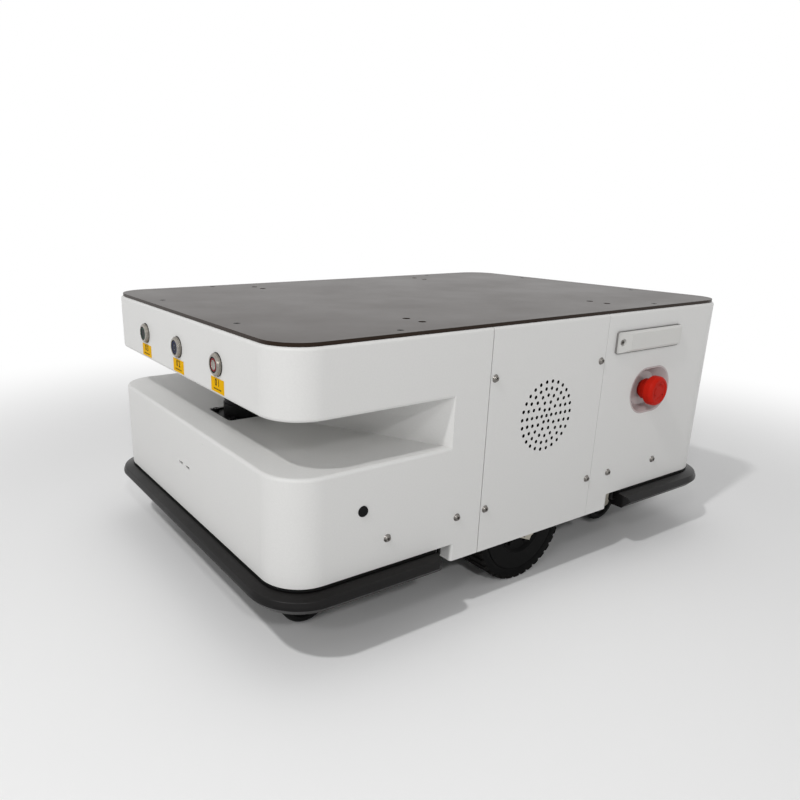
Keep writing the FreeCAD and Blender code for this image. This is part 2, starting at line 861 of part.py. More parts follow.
def make_load_plate():
    """Flat top plate with two payload hole patterns and eight recessed fixing holes."""
    body = new_body("load_plate")
    half_x = "body_length / 2 - plate_inset"
    half_y = "body_width / 2 - plate_inset"
    radius = "corner_radius - plate_inset"
    pad(body, "XY_Plane", "body_top", "body_top + plate_thickness",
        outline(("-(%s)" % half_x, "-(%s)" % half_y, radius), (half_x, "-(%s)" % half_y, radius),
                (half_x, half_y, radius), ("-(%s)" % half_x, half_y, radius)))
    through = []
    recesses = []
    for end in both:
        for side in both:
            x = mirrored(end, "payload_spacing_x / 2")
            for inset in ("payload_inner_inset", "payload_outer_inset"):
                y = mirrored(side, "body_width / 2 - " + inset)
                through.append(disc(x, y, "payload_hole_radius"))
            for spot in plate_screw_spots(end, side):
                through.append(disc(*spot, "plate_screw_radius + screw_clearance"))
                recesses.append(disc(*spot, "plate_head_radius + screw_clearance"))
    top = "body_top + plate_thickness"
    cut(body, "XY_Plane", "body_top", top, *through)
    cut(body, "XY_Plane", top + " - plate_head_depth - seat_clearance", top, *recesses)
    keep(body, "load_plate")


def plate_screw_spots(end, side):
    """The two fixing screws in one corner of the load plate."""
    spots = (("end_screw_inset_x", "end_screw_inset_y"), ("side_screw_inset_x", "side_screw_inset_y"))
    return tuple((mirrored(end, "body_length / 2 - " + x), mirrored(side, "body_width / 2 - " + y))
                 for x, y in spots)


def cylinder(label, radius, length):
    thing = document.addObject("Part::Cylinder", label)
    bind(thing, Radius=radius, Height=length)
    return thing


def join(label, first, second):
    thing = document.addObject("Part::Fuse", label)
    thing.Base = first
    thing.Tool = second
    return thing


def subtract(label, first, second):
    thing = document.addObject("Part::Cut", label)
    thing.Base = first
    thing.Tool = second
    return thing


def socket_screw(label, head_radius, head_height, shank_radius, shank_length, domed):
    """A screw along +Z, with its head's seat at the origin and a hexagon socket."""
    if domed:
        head = document.addObject("Part::Cone", label + "_head")
        bind(head, Radius1=head_radius, Radius2=head_radius + " * screw_head_taper",
             Height=head_height)
    else:
        head = cylinder(label + "_head", head_radius, head_height)
    shank = cylinder(label + "_shank", shank_radius, shank_length)
    place(shank, z="-(%s)" % shank_length)
    whole = join(label + "_whole", head, shank)
    socket = document.addObject("Part::Prism", label + "_socket")
    socket.Polygon = 6
    bind(socket, Circumradius="socket_radius", Height="socket_depth")
    place(socket, z="%s - socket_depth" % head_height)
    return subtract(label, whole, socket)


def face_along(thing, direction):
    """Turn a sub-part that was made along +Z."""
    up = FreeCAD.Vector(0, 0, 1)
    thing.Placement.Rotation = FreeCAD.Rotation(up, FreeCAD.Vector(*direction))


def make_plate_screws():
    screws = []
    for end in both:
        for side in both:
            for x, y in plate_screw_spots(end, side):
                screw = socket_screw("plate_screw", "plate_head_radius", "plate_head_depth",
                                     "plate_screw_radius", "screw_length", False)
                place(screw, x, y, "body_top + plate_thickness - plate_head_depth")
                screws.append(screw)
    group("load_plate_screws", screws)


def make_cover_screws():
    """Stainless screws of the side panels, the covers and the antenna cover."""
    spots = []
    for side in both:
        for end in both:
            spots.append((end, side, "panel_screw_x", "lower_screw_z"))
            spots.append((end, side, "panel_screw_x", "upper_screw_z"))
            spots.append((end, side, "skirt_screw_x", "lower_screw_z"))
            spots.append((end, side, "cover_screw_x", "lower_screw_z"))
    screws = []
    for end, side, x, z in spots:
        screw = socket_screw("cover_screw", "screw_head_radius", "screw_head_height",
                             "screw_radius", "screw_length", True)
        face_along(screw, (0, side, 0))
        place(screw, mirrored(end, x), mirrored(side, "body_width / 2"), z)
        screws.append(screw)
    small = socket_screw("antenna_screw", "antenna_head_radius", "antenna_lip",
                         "plate_screw_radius", "screw_length", False)
    face_along(small, (0, 1, 0))
    place(small, "antenna_screw_x", "body_width / 2 + antenna_lip",
          "(antenna_bottom + antenna_top) / 2")
    screws.append(small)
    group("cover_screws", screws)


def make_hole_plugs():
    """Push-in plugs that close the service holes low on the nose."""
    plugs = []
    for side in both:
        head = document.addObject("Part::Cone", "plug_head")
        bind(head, Radius1="plug_radius", Radius2="plug_radius - plug_bevel", Height="plug_head")
        stem = cylinder("plug_stem", "plug_radius - plug_lip - screw_clearance", "3 * sheet_metal")
        place(stem, z="-3 * sheet_metal")
        plug = join("plug", head, stem)
        face_along(plug, (0, side, 0))
        place(plug, "plug_x", mirrored(side, "body_width / 2"), "plug_z")
        plugs.append(plug)
    group("hole_plugs", plugs)


# ---------------------------------------------------------------- chassis

def make_base_plate():
    """Floor of the chassis: wheel wells at the sides and turned-up flanges for the covers."""
    body = new_body("base_plate")
    gap = "sheet_metal + seat_clearance"
    half_x = "body_length / 2 - (%s)" % gap
    half_y = "body_width / 2 - (%s)" % gap
    radius = "corner_radius - (%s)" % gap
    well = "wheel_well_half_length"
    pad(body, "XY_Plane", "base_bottom", "base_top",
        outline(("-(%s)" % half_x, "-(%s)" % half_y, radius), ("-" + well, "-(%s)" % half_y),
                ("-" + well, "-wheel_well_inner", "well_corner"), (well, "-wheel_well_inner", "well_corner"),
                (well, "-(%s)" % half_y), (half_x, "-(%s)" % half_y, radius),
                (half_x, half_y, radius), (well, half_y), (well, "wheel_well_inner", "well_corner"),
                ("-" + well, "wheel_well_inner", "well_corner"), ("-" + well, half_y),
                ("-(%s)" % half_x, half_y, radius)))
    flanges = []
    for end in both:
        for side in both:
            start = mirrored(end, well + " + flange_start_gap")
            stop = mirrored(end, "cover_screw_x + flange_end_margin")
            outer = mirrored(side, half_y)
            inner = mirrored(side, "%s - frame_metal" % half_y)
            flanges.append(outline((start, inner), (stop, inner), (stop, outer), (start, outer)))
    pad(body, "XY_Plane", "base_bottom", "lower_screw_z + flange_top_margin", *flanges)
    holes = []
    for end in both:
        for x in ("panel_screw_x", "skirt_screw_x", "cover_screw_x"):
            holes.append(disc(mirrored(end, x), "lower_screw_z", "screw_radius + screw_clearance"))
    cut(body, "XZ_Plane", "-body_width", "body_width", *holes)
    keep(body, "base_plate")


def make_side_rail(side):
    """Channel that carries the load plate, with two arms that hold the side panel."""
    label = "side_rail_" + side_name(side)
    body = new_body(label)
    low = "base_top"
    outer = mirrored(side, "rail_outer")
    web = mirrored(side, "rail_outer - frame_metal")
    tip = mirrored(side, "rail_outer - rail_flange")
    reach = "bulkhead_face - frame_metal - seat_clearance"
    pad(body, "YZ_Plane", "-(%s)" % reach, reach,
        outline((outer, low, "frame_bend"), (outer, "body_top", "frame_bend"),
                (tip, "body_top"), (tip, "body_top - frame_metal"),
                (web, "body_top - frame_metal", "frame_inner_bend"),
                (web, low + " + frame_metal", "frame_inner_bend"),
                (tip, low + " + frame_metal"), (tip, low)))
    near, far = across(side, "rail_outer - 2 * frame_metal", "rail_outer + 1")
    middle = "(%s + body_top) / 2" % low
    cut(body, "XZ_Plane", near, far,
        disc("0", middle, "1.4 * lightening_radius"), disc("lightening_x", middle, "lightening_radius"),
        disc("-lightening_x", middle, "lightening_radius"),
        disc("pivot_x", "pivot_z", "pivot_radius + 2 * seat_clearance"))
    end_y = "body_width / 2 - sheet_metal - seat_clearance"
    arm_low, arm_high = across(side, "rail_outer - frame_metal", end_y)
    tab_low, tab_high = across(side, end_y + " - frame_metal", end_y)
    arms = []
    tabs = []
    for end in both:
        left = mirrored(end, "panel_screw_x - panel_arm_half_width")
        right = mirrored(end, "panel_screw_x + panel_arm_half_width")
        bottom = "upper_screw_z - panel_arm_drop"
        arms.append(rectangle(left, right, bottom, bottom + " + frame_metal"))
        tabs.append(rectangle(left, right, bottom, "upper_screw_z + panel_arm_half_width"))
    pad(body, "XZ_Plane", arm_low, arm_high, *arms)
    pad(body, "XZ_Plane", tab_low, tab_high, *tabs)
    cut(body, "XZ_Plane", tab_low, tab_high,
        disc("-panel_screw_x", "upper_screw_z", "screw_radius + screw_clearance"),
        disc("panel_screw_x", "upper_screw_z", "screw_radius + screw_clearance"))
    keep(body, label)


def make_bulkhead(label, end):
    """Cross wall between the rails and the end bays, with flanges at its top and bottom."""
    body = new_body(label)
    low = "base_top"
    face = mirrored(end, "bulkhead_face")
    back = mirrored(end, "bulkhead_face - frame_metal")
    tip = mirrored(end, "bulkhead_face - frame_metal + bulkhead_flange")
    pad(body, "XZ_Plane", "-bulkhead_half_width", "bulkhead_half_width",
        outline((back, low, "frame_bend"), (back, "body_top", "frame_bend"),
                (tip, "body_top"), (tip, "body_top - frame_metal"),
                (face, "body_top - frame_metal", "frame_inner_bend"),
                (face, low + " + frame_metal", "frame_inner_bend"),
                (tip, low + " + frame_metal"), (tip, low)))
    low_x, high_x = ("bulkhead_face - 2 * frame_metal", "bulkhead_face + 1")
    if end < 0:
        low_x, high_x = ("-(%s)" % high_x, "-(%s)" % low_x)
    cut(body, "YZ_Plane", low_x, high_x,
        disc("-(rail_outer - lightening_inset)", "lightening_z", "lightening_radius"),
        disc("rail_outer - lightening_inset", "lightening_z", "lightening_radius"),
        disc("0", "lightening_upper_z", "0.8 * lightening_radius"))
    keep(body, label)


def make_suspension_bracket(side):
    """Bracket on the rail: it carries the arm's pivot pin and the spring's upper seat."""
    label = "suspension_bracket_" + side_name(side)
    body = new_body(label)
    corner = "bracket_corner"
    low, high = across(side, "rail_outer", "rail_outer + bracket_metal")
    pad(body, "XZ_Plane", low, high,
        outline(("pivot_x - bracket_half", "bracket_bottom", corner),
                ("pivot_x + bracket_half", "bracket_bottom", corner),
                ("spring_x + bracket_half", "spring_seat_z - spring_seat_drop", corner),
                ("spring_x + bracket_half", "bracket_top", corner),
                ("spring_x - bracket_half", "bracket_top", corner),
                ("pivot_x - bracket_half", "pivot_z + bracket_half", corner)))
    low, high = across(side, "rail_outer", "arm_inner - swivel_gap")
    pad(body, "XZ_Plane", low, high, disc("pivot_x", "pivot_z", "pivot_hub_radius"))
    seat = mirrored(side, "spring_y")
    seat_end = mirrored(side, "spring_y + spring_seat_radius")
    root = mirrored(side, "rail_outer")
    pad(body, "XY_Plane", "spring_seat_z", "spring_seat_z + bracket_metal",
        outline(("spring_x - spring_seat_radius", root), ("spring_x + spring_seat_radius", root),
                ("spring_x + spring_seat_radius", seat_end, "spring_seat_radius - 1"),
                ("spring_x - spring_seat_radius", seat_end, "spring_seat_radius - 1")))
    pad(body, "XY_Plane", "spring_seat_z - spring_boss", "spring_seat_z",
        disc("spring_x", seat, "spring_boss_radius"))
    low, high = across(side, "rail_outer - 1", "arm_inner")
    cut(body, "XZ_Plane", low, high,
        disc("pivot_x", "pivot_z", "pivot_radius + running_clearance"))
    keep(body, label)


def make_pivot_pins():
    """Headed pins that the drive arms turn on."""
    pins = []
    for side in both:
        shank = cylinder("pivot_shank", "pivot_radius",
                         "arm_inner + arm_hub_width + swivel_gap - rail_outer + pivot_hub_length / 2")
        head = cylinder("pivot_head", "1.5 * pivot_radius", "pivot_head")
        place(head, z="-pivot_head")
        pin = join("pivot_pin", head, shank)
        face_along(pin, (0, -side, 0))
        place(pin, "pivot_x", mirrored(side, "arm_inner + arm_hub_width + swivel_gap"), "pivot_z")
        pins.append(pin)
    group("pivot_pins", pins)


# ---------------------------------------------------------------- bumpers

def bumper_path(end, start):
    """The line that a bumper follows: along one side, round the end and back."""
    def draw(sketch):
        half_x = end * number("body_length / 2")
        half_y = number("body_width / 2")
        radius = number("corner_radius")
        begin = end * number(start)
        up = FreeCAD.Vector(0, 0, 1)
        bend_x = half_x - end * radius
        bend_y = half_y - radius
        point = FreeCAD.Vector
        left = Part.LineSegment(point(begin, half_y, 0), point(bend_x, half_y, 0))
        front = Part.LineSegment(point(half_x, bend_y, 0), point(half_x, -bend_y, 0))
        right = Part.LineSegment(point(bend_x, -half_y, 0), point(begin, -half_y, 0))
        quarter = math.pi / 2
        turn_left = (0, quarter) if end > 0 else (quarter, 2 * quarter)
        turn_right = (-quarter, 0) if end > 0 else (2 * quarter, 3 * quarter)
        bend_left = Part.ArcOfCircle(Part.Circle(point(bend_x, bend_y, 0), up, radius), *turn_left)
        bend_right = Part.ArcOfCircle(Part.Circle(point(bend_x, -bend_y, 0), up, radius), *turn_right)
        for item in (left, bend_left, front, bend_right, right):
            sketch.addGeometry(item, False)
        near = 1 if end > 0 else 2
        joints = ((0, 2, 1, 3 - near), (1, near, 2, 1), (2, 2, 3, 3 - near), (3, near, 4, 1))
        for first, first_end, second, second_end in joints:
            tangent = Sketcher.Constraint("Tangent", first, first_end, second, second_end)
            sketch.addConstraint(tangent)
        start_x = mirrored(end, start)
        pin_point(sketch, 0, 1, start_x, "body_width / 2")
        pin_point(sketch, 4, 2, start_x, "-body_width / 2")
        centre_x = mirrored(end, "body_length / 2 - corner_radius")
        pin_point(sketch, 1, 3, centre_x, "body_width / 2 - corner_radius")
        pin_point(sketch, 3, 3, centre_x, "-(body_width / 2 - corner_radius)")
    return draw


def make_bumper_piece(label, end, start, corners):
    """Sweep a cross-section, given as reach beyond the shell and height, along the path."""
    body = new_body(label)
    spine = sketch_on(body, "XY_Plane", "0", [bumper_path(end, start)])
    section = outline(*[("body_width / 2 + (%s)" % corner[0],) + tuple(corner[1:])
                        for corner in corners])
    profile = sketch_on(body, "YZ_Plane", mirrored(end, start), [section])
    sweep = body.newObject("PartDesign::AdditivePipe", label + "_sweep")
    sweep.Profile = profile
    sweep.Spine = (spine, ["Edge%d" % index for index in range(1, 6)])
    document.recompute()
    return keep(body, label)


def round_bumper_ends(body, end, start):
    """Round the outer corners of both ends, as seen from above."""
    x = mirrored(end, start)
    before = mirrored(end, start + " - 1")
    inside = mirrored(end, start + " + bumper_end_round + 1")
    corners = []
    for side in both:
        outer = mirrored(side, "body_width / 2 + bumper_reach")
        past = mirrored(side, "body_width / 2 + bumper_reach + 1")
        back = mirrored(side, "body_width / 2 + bumper_reach - bumper_end_round - 1")
        corners.append(outline((before, past), (inside, past), (inside, outer),
                               (x, outer, "bumper_end_round"), (x, back), (before, back)))
    cut(body, "XY_Plane", "bumper_bottom - 1", "bumper_top + 1", *corners)


def make_bumpers():
    """Rubber bumpers and the rails that hold them, swept round each end of the shell."""
    ridge = "bumper_top - bumper_ridge_drop"
    rubber = (("-bumper_root", "bumper_top"), ("1", "bumper_top"), ("bumper_ridge", ridge, "2"),
              ("bumper_reach", "bumper_top - bumper_face_top", "3"),
              ("bumper_reach", "bumper_top - bumper_face_bottom", "1.5"),
              ("bumper_foot", "bumper_bottom", "2"), ("-bumper_foot", "bumper_bottom"),
              ("-bumper_root", "bumper_bottom + bumper_root_rise"))
    rail = (("-rail_root", "bumper_top"), ("-rail_rib_gap", "bumper_top"),
            ("-rail_rib_gap", "rail_lip_bottom"), ("rail_lip_reach", "rail_lip_bottom"),
            ("rail_lip_reach", "rail_lip_top"), ("-rail_rib", "rail_lip_top"),
            ("-rail_rib", "base_bottom"), ("-rail_root", "base_bottom"))
    for label, end, start in (("front", 1, "bumper_front_end"), ("rear", -1, "bumper_rear_end")):
        bumper = make_bumper_piece("bumper_" + label, end, start, rubber)
        round_bumper_ends(bumper, end, start)
        make_bumper_piece("bumper_rail_" + label, end, start, rail)


def tube(points, radius, bend):
    """A round lead along straight runs joined by arcs."""
    vectors = [FreeCAD.Vector(number(x), number(y), number(z)) for x, y, z in points]
    edges = []
    start = vectors[0]
    for index in range(1, len(vectors) - 1):
        corner = vectors[index]
        before = (vectors[index - 1] - corner).normalize()
        after = (vectors[index + 1] - corner).normalize()
        half = before.getAngle(after) / 2
        middle = (before + after).normalize()
        centre = corner + middle * (bend / math.sin(half))
        first = corner + before * (bend / math.tan(half))
        last = corner + after * (bend / math.tan(half))
        edges.append(Part.LineSegment(start, first).toShape())
        edges.append(Part.Arc(first, centre - middle * bend, last).toShape())
        start = last
    edges.append(Part.LineSegment(start, vectors[-1]).toShape())
    wire = Part.Wire(edges)
    direction = vectors[1] - vectors[0]
    ring = Part.Wire(Part.makeCircle(radius, vectors[0], direction))
    return wire.makePipeShell([ring], True, False)


def make_bumper_leads():
    """Short sensing leads from the chassis into the bumpers' left ends."""
    radius = number("lead_radius")
    bend = 2.2 * radius
    y = "body_width / 2 - lead_inset"
    z = "bumper_top - lead_drop"
    front = (("bumper_front_end - lead_room", y, "base_bottom"),
             ("bumper_front_end - lead_room", y, z), ("bumper_front_end", y, z))
    rear = (("-bumper_rear_end + lead_room", y, "base_bottom"),
            ("-bumper_rear_end + lead_room", y, z), ("-bumper_rear_end", y, z))
    feature = document.addObject("Part::Feature", "bumper_leads")
    feature.Shape = Part.makeCompound([tube(front, radius, bend), tube(rear, radius, bend)])
    feature.Placement = FreeCAD.Placement()
    keep(feature, "bumper_leads")


# ---------------------------------------------------------------- controls

def make_buttons():
    """Three push buttons: a bezel with its barrel, and a lit cap that travels in it."""
    bezels = []
    spots = (("right", "-button_pitch"), ("centre", "0"), ("left", "button_pitch"))
    for name, y in spots:
        bezel = new_body("button_bezel_" + name)
        bore = "cap_radius + cap_clearance"
        floor = "bezel_height - cap_recess - cap_length - cap_room"
        turn(bezel, "XZ_Plane", "X_Axis",
             outline(("-barrel_length", "0"), (floor, "0"), (floor, bore), ("bezel_height", bore),
                     ("bezel_height", "bezel_radius - bezel_edge"),
                     ("bezel_height - bezel_edge", "bezel_radius"), ("0", "bezel_radius"),
                     ("0", "barrel_radius"), ("-barrel_length", "barrel_radius")))
        place(bezel, "body_length / 2", y, "button_z")
        bezels.append(bezel)
        cap = new_body("button_cap_" + name)
        front = "bezel_height - cap_recess"
        turn(cap, "XZ_Plane", "X_Axis",
             outline((front + " - cap_length", "0"), (front, "0"),
                     (front, "cap_radius", "cap_edge"),
                     (front + " - cap_length", "cap_radius")))
        place(cap, "body_length / 2", y, "button_z")
        keep(cap, "button_cap_" + name)
    group("button_bezels", bezels)


def make_labels():
    """Plain labels under the buttons."""
    labels = []
    for y in ("-button_pitch", "0", "button_pitch"):
        label = document.addObject("Part::Box", "label")
        bind(label, Length="label_thickness", Width="label_width", Height="label_height")
        place(label, "body_length / 2", y + " - label_width / 2", "label_bottom")
        labels.append(label)
    group("button_labels", labels)


def make_stop_button():
    """Emergency stop: bowl, contact block, sliding stem and a mushroom head that twists."""
    face = "body_width / 2"
    wall = "2 * bowl_wall"
    outer = loft_inwards("bowl_outer", (face, "bowl_length", "bowl_height"),
                         (face + " - bowl_depth - bowl_wall", "bowl_floor_length",
                          "bowl_floor_height"))
    inner = loft_inwards("bowl_inner", (face, "bowl_length - " + wall, "bowl_height - " + wall),
                         (face + " - bowl_depth", "bowl_floor_length - " + wall,
                          "bowl_floor_height - " + wall))
    flange = new_body("bowl_flange_plate")
    pad(flange, "XZ_Plane", face + " - sheet_metal - bowl_wall", face + " - sheet_metal",
        obround("stop_x", "stop_z", "bowl_length + 2 * bowl_flange",
                "bowl_height + 2 * bowl_flange"))
    hole = cylinder("bowl_hole", "stop_neck_radius + seat_clearance", "bowl_depth")
    face_along(hole, (0, 1, 0))
    place(hole, "stop_x", face + " - bowl_depth - 2 * bowl_wall", "stop_z")
    solid = join("bowl_solid", outer, flange)
    bowl = subtract("estop_bowl", subtract("bowl_open", solid, inner), hole)
    document.recompute()
    keep(bowl, "estop_bowl")

    block = new_body("estop_body")
    back = face + " - bowl_depth - bowl_wall"
    half = "stop_block_side / 2"
    pad(block, "XZ_Plane", back + " - stop_block_depth", back,
        outline(("stop_x - " + half, "stop_z - " + half, "stop_block_corner"),
                ("stop_x + " + half, "stop_z - " + half, "stop_block_corner"),
                ("stop_x + " + half, "stop_z + " + half, "stop_block_corner"),
                ("stop_x - " + half, "stop_z + " + half, "stop_block_corner")))
    pad(block, "XZ_Plane", back, back + " + stop_neck_length",
        disc("stop_x", "stop_z", "stop_neck_radius"))
    cut(block, "XZ_Plane", back + " - stop_block_depth + stop_block_back", face,
        disc("stop_x", "stop_z", "stop_stem_radius + running_clearance"))
    keep(block, "estop_body")

    stem = cylinder("estop_stem", "stop_stem_radius", "bowl_depth + stop_head_front + stop_stem_tail")
    face_along(stem, (0, 1, 0))
    place(stem, "stop_x", face + " - stop_stem_cover - bowl_depth - stop_stem_tail", "stop_z")
    keep(stem, "estop_stem")

    head = new_body("estop_head")
    bore = "stop_stem_radius + running_clearance"
    tip = "stop_head_front - stop_stem_cover + running_clearance"
    dish = "stop_head_front - stop_dish_depth"
    turn(head, "YZ_Plane", "Y_Axis",
         outline(("stop_head_under - stop_skirt_length", "stop_skirt_bore"),
                 ("stop_head_under - stop_skirt_length", "stop_skirt_radius"),
                 ("stop_head_under", "stop_skirt_radius"),
                 ("stop_head_under", "stop_head_radius", "stop_under_edge"),
                 ("stop_head_front", "stop_head_radius", "stop_head_edge"),
                 ("stop_head_front", "stop_dish_radius + stop_dish_depth"),
                 (dish, "stop_dish_radius"), (dish, "0"), (tip, "0"), (tip, bore),
                 ("stop_head_under - 1", bore),
                 ("stop_head_under - 1", "stop_skirt_bore")))
    place(head, "stop_x", face, "stop_z")
    keep(head, "estop_head")


def loft_inwards(label, *sections):
    """Loft between two slot shapes, each given as its place along Y, its length and height."""
    sketches = []
    for depth, length, height in sections:
        sketch = document.addObject("Sketcher::SketchObject", label + "_section")
        sketch.Placement.Rotation = FreeCAD.Rotation(FreeCAD.Vector(1, 0, 0), 90)
        place(sketch, y=depth)
        obround("stop_x", "stop_z", length, height)(sketch)
        sketches.append(sketch)
    loft = document.addObject("Part::Loft", label)
    loft.Sections = sketches
    loft.Solid = True
    loft.Ruled = True
    return loft


def make_antenna_cover():
    """Low moulded cover that slopes up from its screw to a flat face."""
    body = new_body("antenna_cover")
    face = "body_width / 2"
    outer = face + " + antenna_height"
    shoulder = outer + " - antenna_bevel"
    pad(body, "YZ_Plane", "antenna_rear_x", "antenna_front_x",
        outline((face, "antenna_bottom"), (shoulder, "antenna_bottom"),
                (outer, "antenna_bottom + antenna_bevel"), (outer, "antenna_top - antenna_bevel"),
                (shoulder, "antenna_top"), (face, "antenna_top")))
    slope_end = "antenna_front_x - antenna_slope"
    cut(body, "XY_Plane", "antenna_bottom", "antenna_top",
        outline(("antenna_front_x", face + " + antenna_lip"), (slope_end, outer),
                (slope_end, outer + " + 1"), ("antenna_front_x", outer + " + 1")))
    cut(body, "XZ_Plane", face + " + antenna_lip", face + " + antenna_height",
        disc("antenna_screw_x", "(antenna_bottom + antenna_top) / 2", "antenna_counterbore"))
    cut(body, "XZ_Plane", face, face + " + antenna_lip",
        disc("antenna_screw_x", "(antenna_bottom + antenna_top) / 2",
             "plate_screw_radius + screw_clearance"))
    keep(body, "antenna_cover")


# ---------------------------------------------------------------- scanner and speaker

def make_scanner():
    """Laser scanner on its bracket: base, window, spinning head inside it, and cap."""
    mount = new_body("lidar_mount")
    half = "pit_half_width - mount_side_gap"
    tip = "pit_front - mount_side_gap"
    pad(mount, "XY_Plane", "mount_top - mount_thickness", "mount_top",
        outline(("bulkhead_face", "-(%s)" % half), (tip, "-(%s)" % half, "pit_corner"),
                (tip, half, "pit_corner"), ("bulkhead_face", half)))
    pad(mount, "YZ_Plane", "bulkhead_face", "bulkhead_face + mount_thickness",
        rectangle("-(%s)" % half, half, "mount_top - mount_foot_height", "mount_top"))
    keep(mount, "lidar_mount")

    base = new_body("lidar_body")
    pad(base, "XY_Plane", "mount_top", "scanner_base_top",
        disc("scanner_x", "0", "scanner_radius"))
    pad(base, "XY_Plane", "scanner_base_top", "scanner_window_top - spindle_drop",
        disc("scanner_x", "0", "spindle_radius"))
    keep(base, "lidar_body")

    window = new_body("lidar_window")
    radius = "scanner_radius - window_inset"
    pad(window, "XY_Plane", "scanner_base_top", "scanner_window_top",
        disc("scanner_x", "0", radius), disc("scanner_x", "0", radius + " - window_wall"))
    keep(window, "lidar_window")

    rotor = new_body("lidar_rotor")
    pad(rotor, "XY_Plane", "scanner_base_top + rotor_gap", "scanner_window_top - rotor_gap",
        disc("scanner_x", "0", "rotor_radius"),
        disc("scanner_x", "0", "spindle_radius + running_clearance"))
    lens = "scanner_x + rotor_radius - rotor_lens_depth"
    middle = "(scanner_base_top + scanner_window_top) / 2"
    cut(rotor, "YZ_Plane", lens, "scanner_x + rotor_radius",
        disc("-rotor_lens_offset", middle, "rotor_lens_radius"),
        disc("rotor_lens_offset", middle, "rotor_lens_radius"))
    keep(rotor, "lidar_rotor")

    cap = new_body("lidar_cap")
    pad(cap, "XY_Plane", "scanner_window_top", "scanner_top",
        disc("scanner_x", "0", "scanner_radius"))
    top = number("scanner_top")
    bevel_edges(cap, "scanner_cap_bevel", lambda box: same(box.ZMin, top))
    keep(cap, "lidar_cap")


def make_speaker():
    """Loudspeaker behind the grille: rim, cone and magnet."""
    body = new_body("speaker")
    rim = "-speaker_rim"
    cone = "-speaker_cone_depth"
    back = "-speaker_cone_depth - magnet_depth"
    turn(body, "YZ_Plane", "Y_Axis",
         outline((back, "0"), (back, "magnet_radius"), (cone, "magnet_radius"),
                 (rim, "speaker_cone_radius"), (rim, "speaker_radius"), ("0", "speaker_radius"),
                 ("0", "speaker_cone_radius"), ("-0.6 * speaker_cone_depth", "dust_cap_radius"),
                 ("-0.5 * speaker_cone_depth", "0")))
    place(body, "0", "body_width / 2 - sheet_metal - seat_clearance", "speaker_z")
    keep(body, "speaker")


# ---------------------------------------------------------------- drive wheels

def make_drive_arm(side):
    """Fork that straddles the wheel: inner plate, bridge over the tyre and outer strap."""
    label = "drive_arm_" + side_name(side)
    body = new_body(label)
    corner = "arm_corner"
    low, high = across(side, "arm_inner", "arm_inner + arm_metal")
    pad(body, "XZ_Plane", low, high,
        outline(("pivot_x - pivot_hub_radius - 3", "pivot_z - pivot_hub_radius", corner),
                ("pivot_x - pivot_hub_radius - 3", "pivot_z + pivot_hub_radius + 6", corner),
                ("bridge_rear_x", "bridge_top"), ("bridge_front_x", "bridge_top"),
                ("arm_end_half", "wheel_radius + arm_end_half / 2", corner),
                ("arm_end_half", "wheel_radius - arm_end_half", corner),
                ("-arm_end_half", "wheel_radius - arm_end_half", corner)))
    low, high = across(side, "arm_inner", "strap_inner + strap_metal")
    pad(body, "XZ_Plane", low, high,
        outline(("bridge_rear_x", "bridge_top"), ("bridge_front_x", "bridge_top"),
                ("bridge_front_x", "bridge_front_bottom"),
                ("bridge_rear_x", "bridge_rear_bottom")))
    low, high = across(side, "strap_inner", "strap_inner + strap_metal")
    pad(body, "XZ_Plane", low, high, outline(*strap_corners()))
    low, high = across(side, "arm_inner", "arm_inner + arm_hub_width")
    pad(body, "XZ_Plane", low, high, disc("pivot_x", "pivot_z", "pivot_hub_radius"))
    cut(body, "XZ_Plane", "-body_width", "body_width",
        disc("pivot_x", "pivot_z", "pivot_radius + running_clearance"),
        disc("0", "wheel_radius", "axle_radius"))
    pad(body, "XY_Plane", "bridge_top", "bridge_top + bridge_boss",
        disc("spring_x", mirrored(side, "spring_y"), "spring_boss_radius"))
    keep(body, label)


def strap_corners():
    """Corners of the tilted outer strap, from below the axle to the bridge."""
    lean = "sin(strap_tilt)"
    rise = "cos(strap_tilt)"
    corners = []
    length = "(bridge_top - wheel_radius) / cos(strap_tilt)"
    ends = (("-strap_drop", -1), ("-strap_drop", 1), (length, 1), (length, -1))
    for along, side in ends:
        x = "-(%s) * %s + %d * strap_half_width * %s" % (along, lean, side, rise)
        z = "wheel_radius + (%s) * %s + %d * strap_half_width * %s" % (along, rise, side, lean)
        if along == length:
            z = "bridge_top"
            x = "-(%s) * %s + %d * strap_half_width / %s" % (along, lean, side, rise)
        corners.append((x, z))
    return corners


def make_spring(side):
    """Coil spring between the arm's bridge and the bracket's seat."""
    label = "suspension_spring_" + side_name(side)
    body = new_body(label)
    wire = "spring_wire_radius"
    height = "spring_seat_z - bridge_top - 2 * %s" % wire
    sketch = sketch_on(body, "XZ_Plane", "0", [disc("spring_radius", wire, wire)])
    helix = body.newObject("PartDesign::AdditiveHelix", label + "_helix")
    helix.Profile = sketch
    helix.ReferenceAxis = (origin(body, "Z_Axis"), [""])
    helix.Mode = "height-turns-angle"
    bind(helix, Height=height, Turns="spring_turns")
    document.recompute()
    place(body, "spring_x", mirrored(side, "spring_y"), "bridge_top")
    keep(body, label)


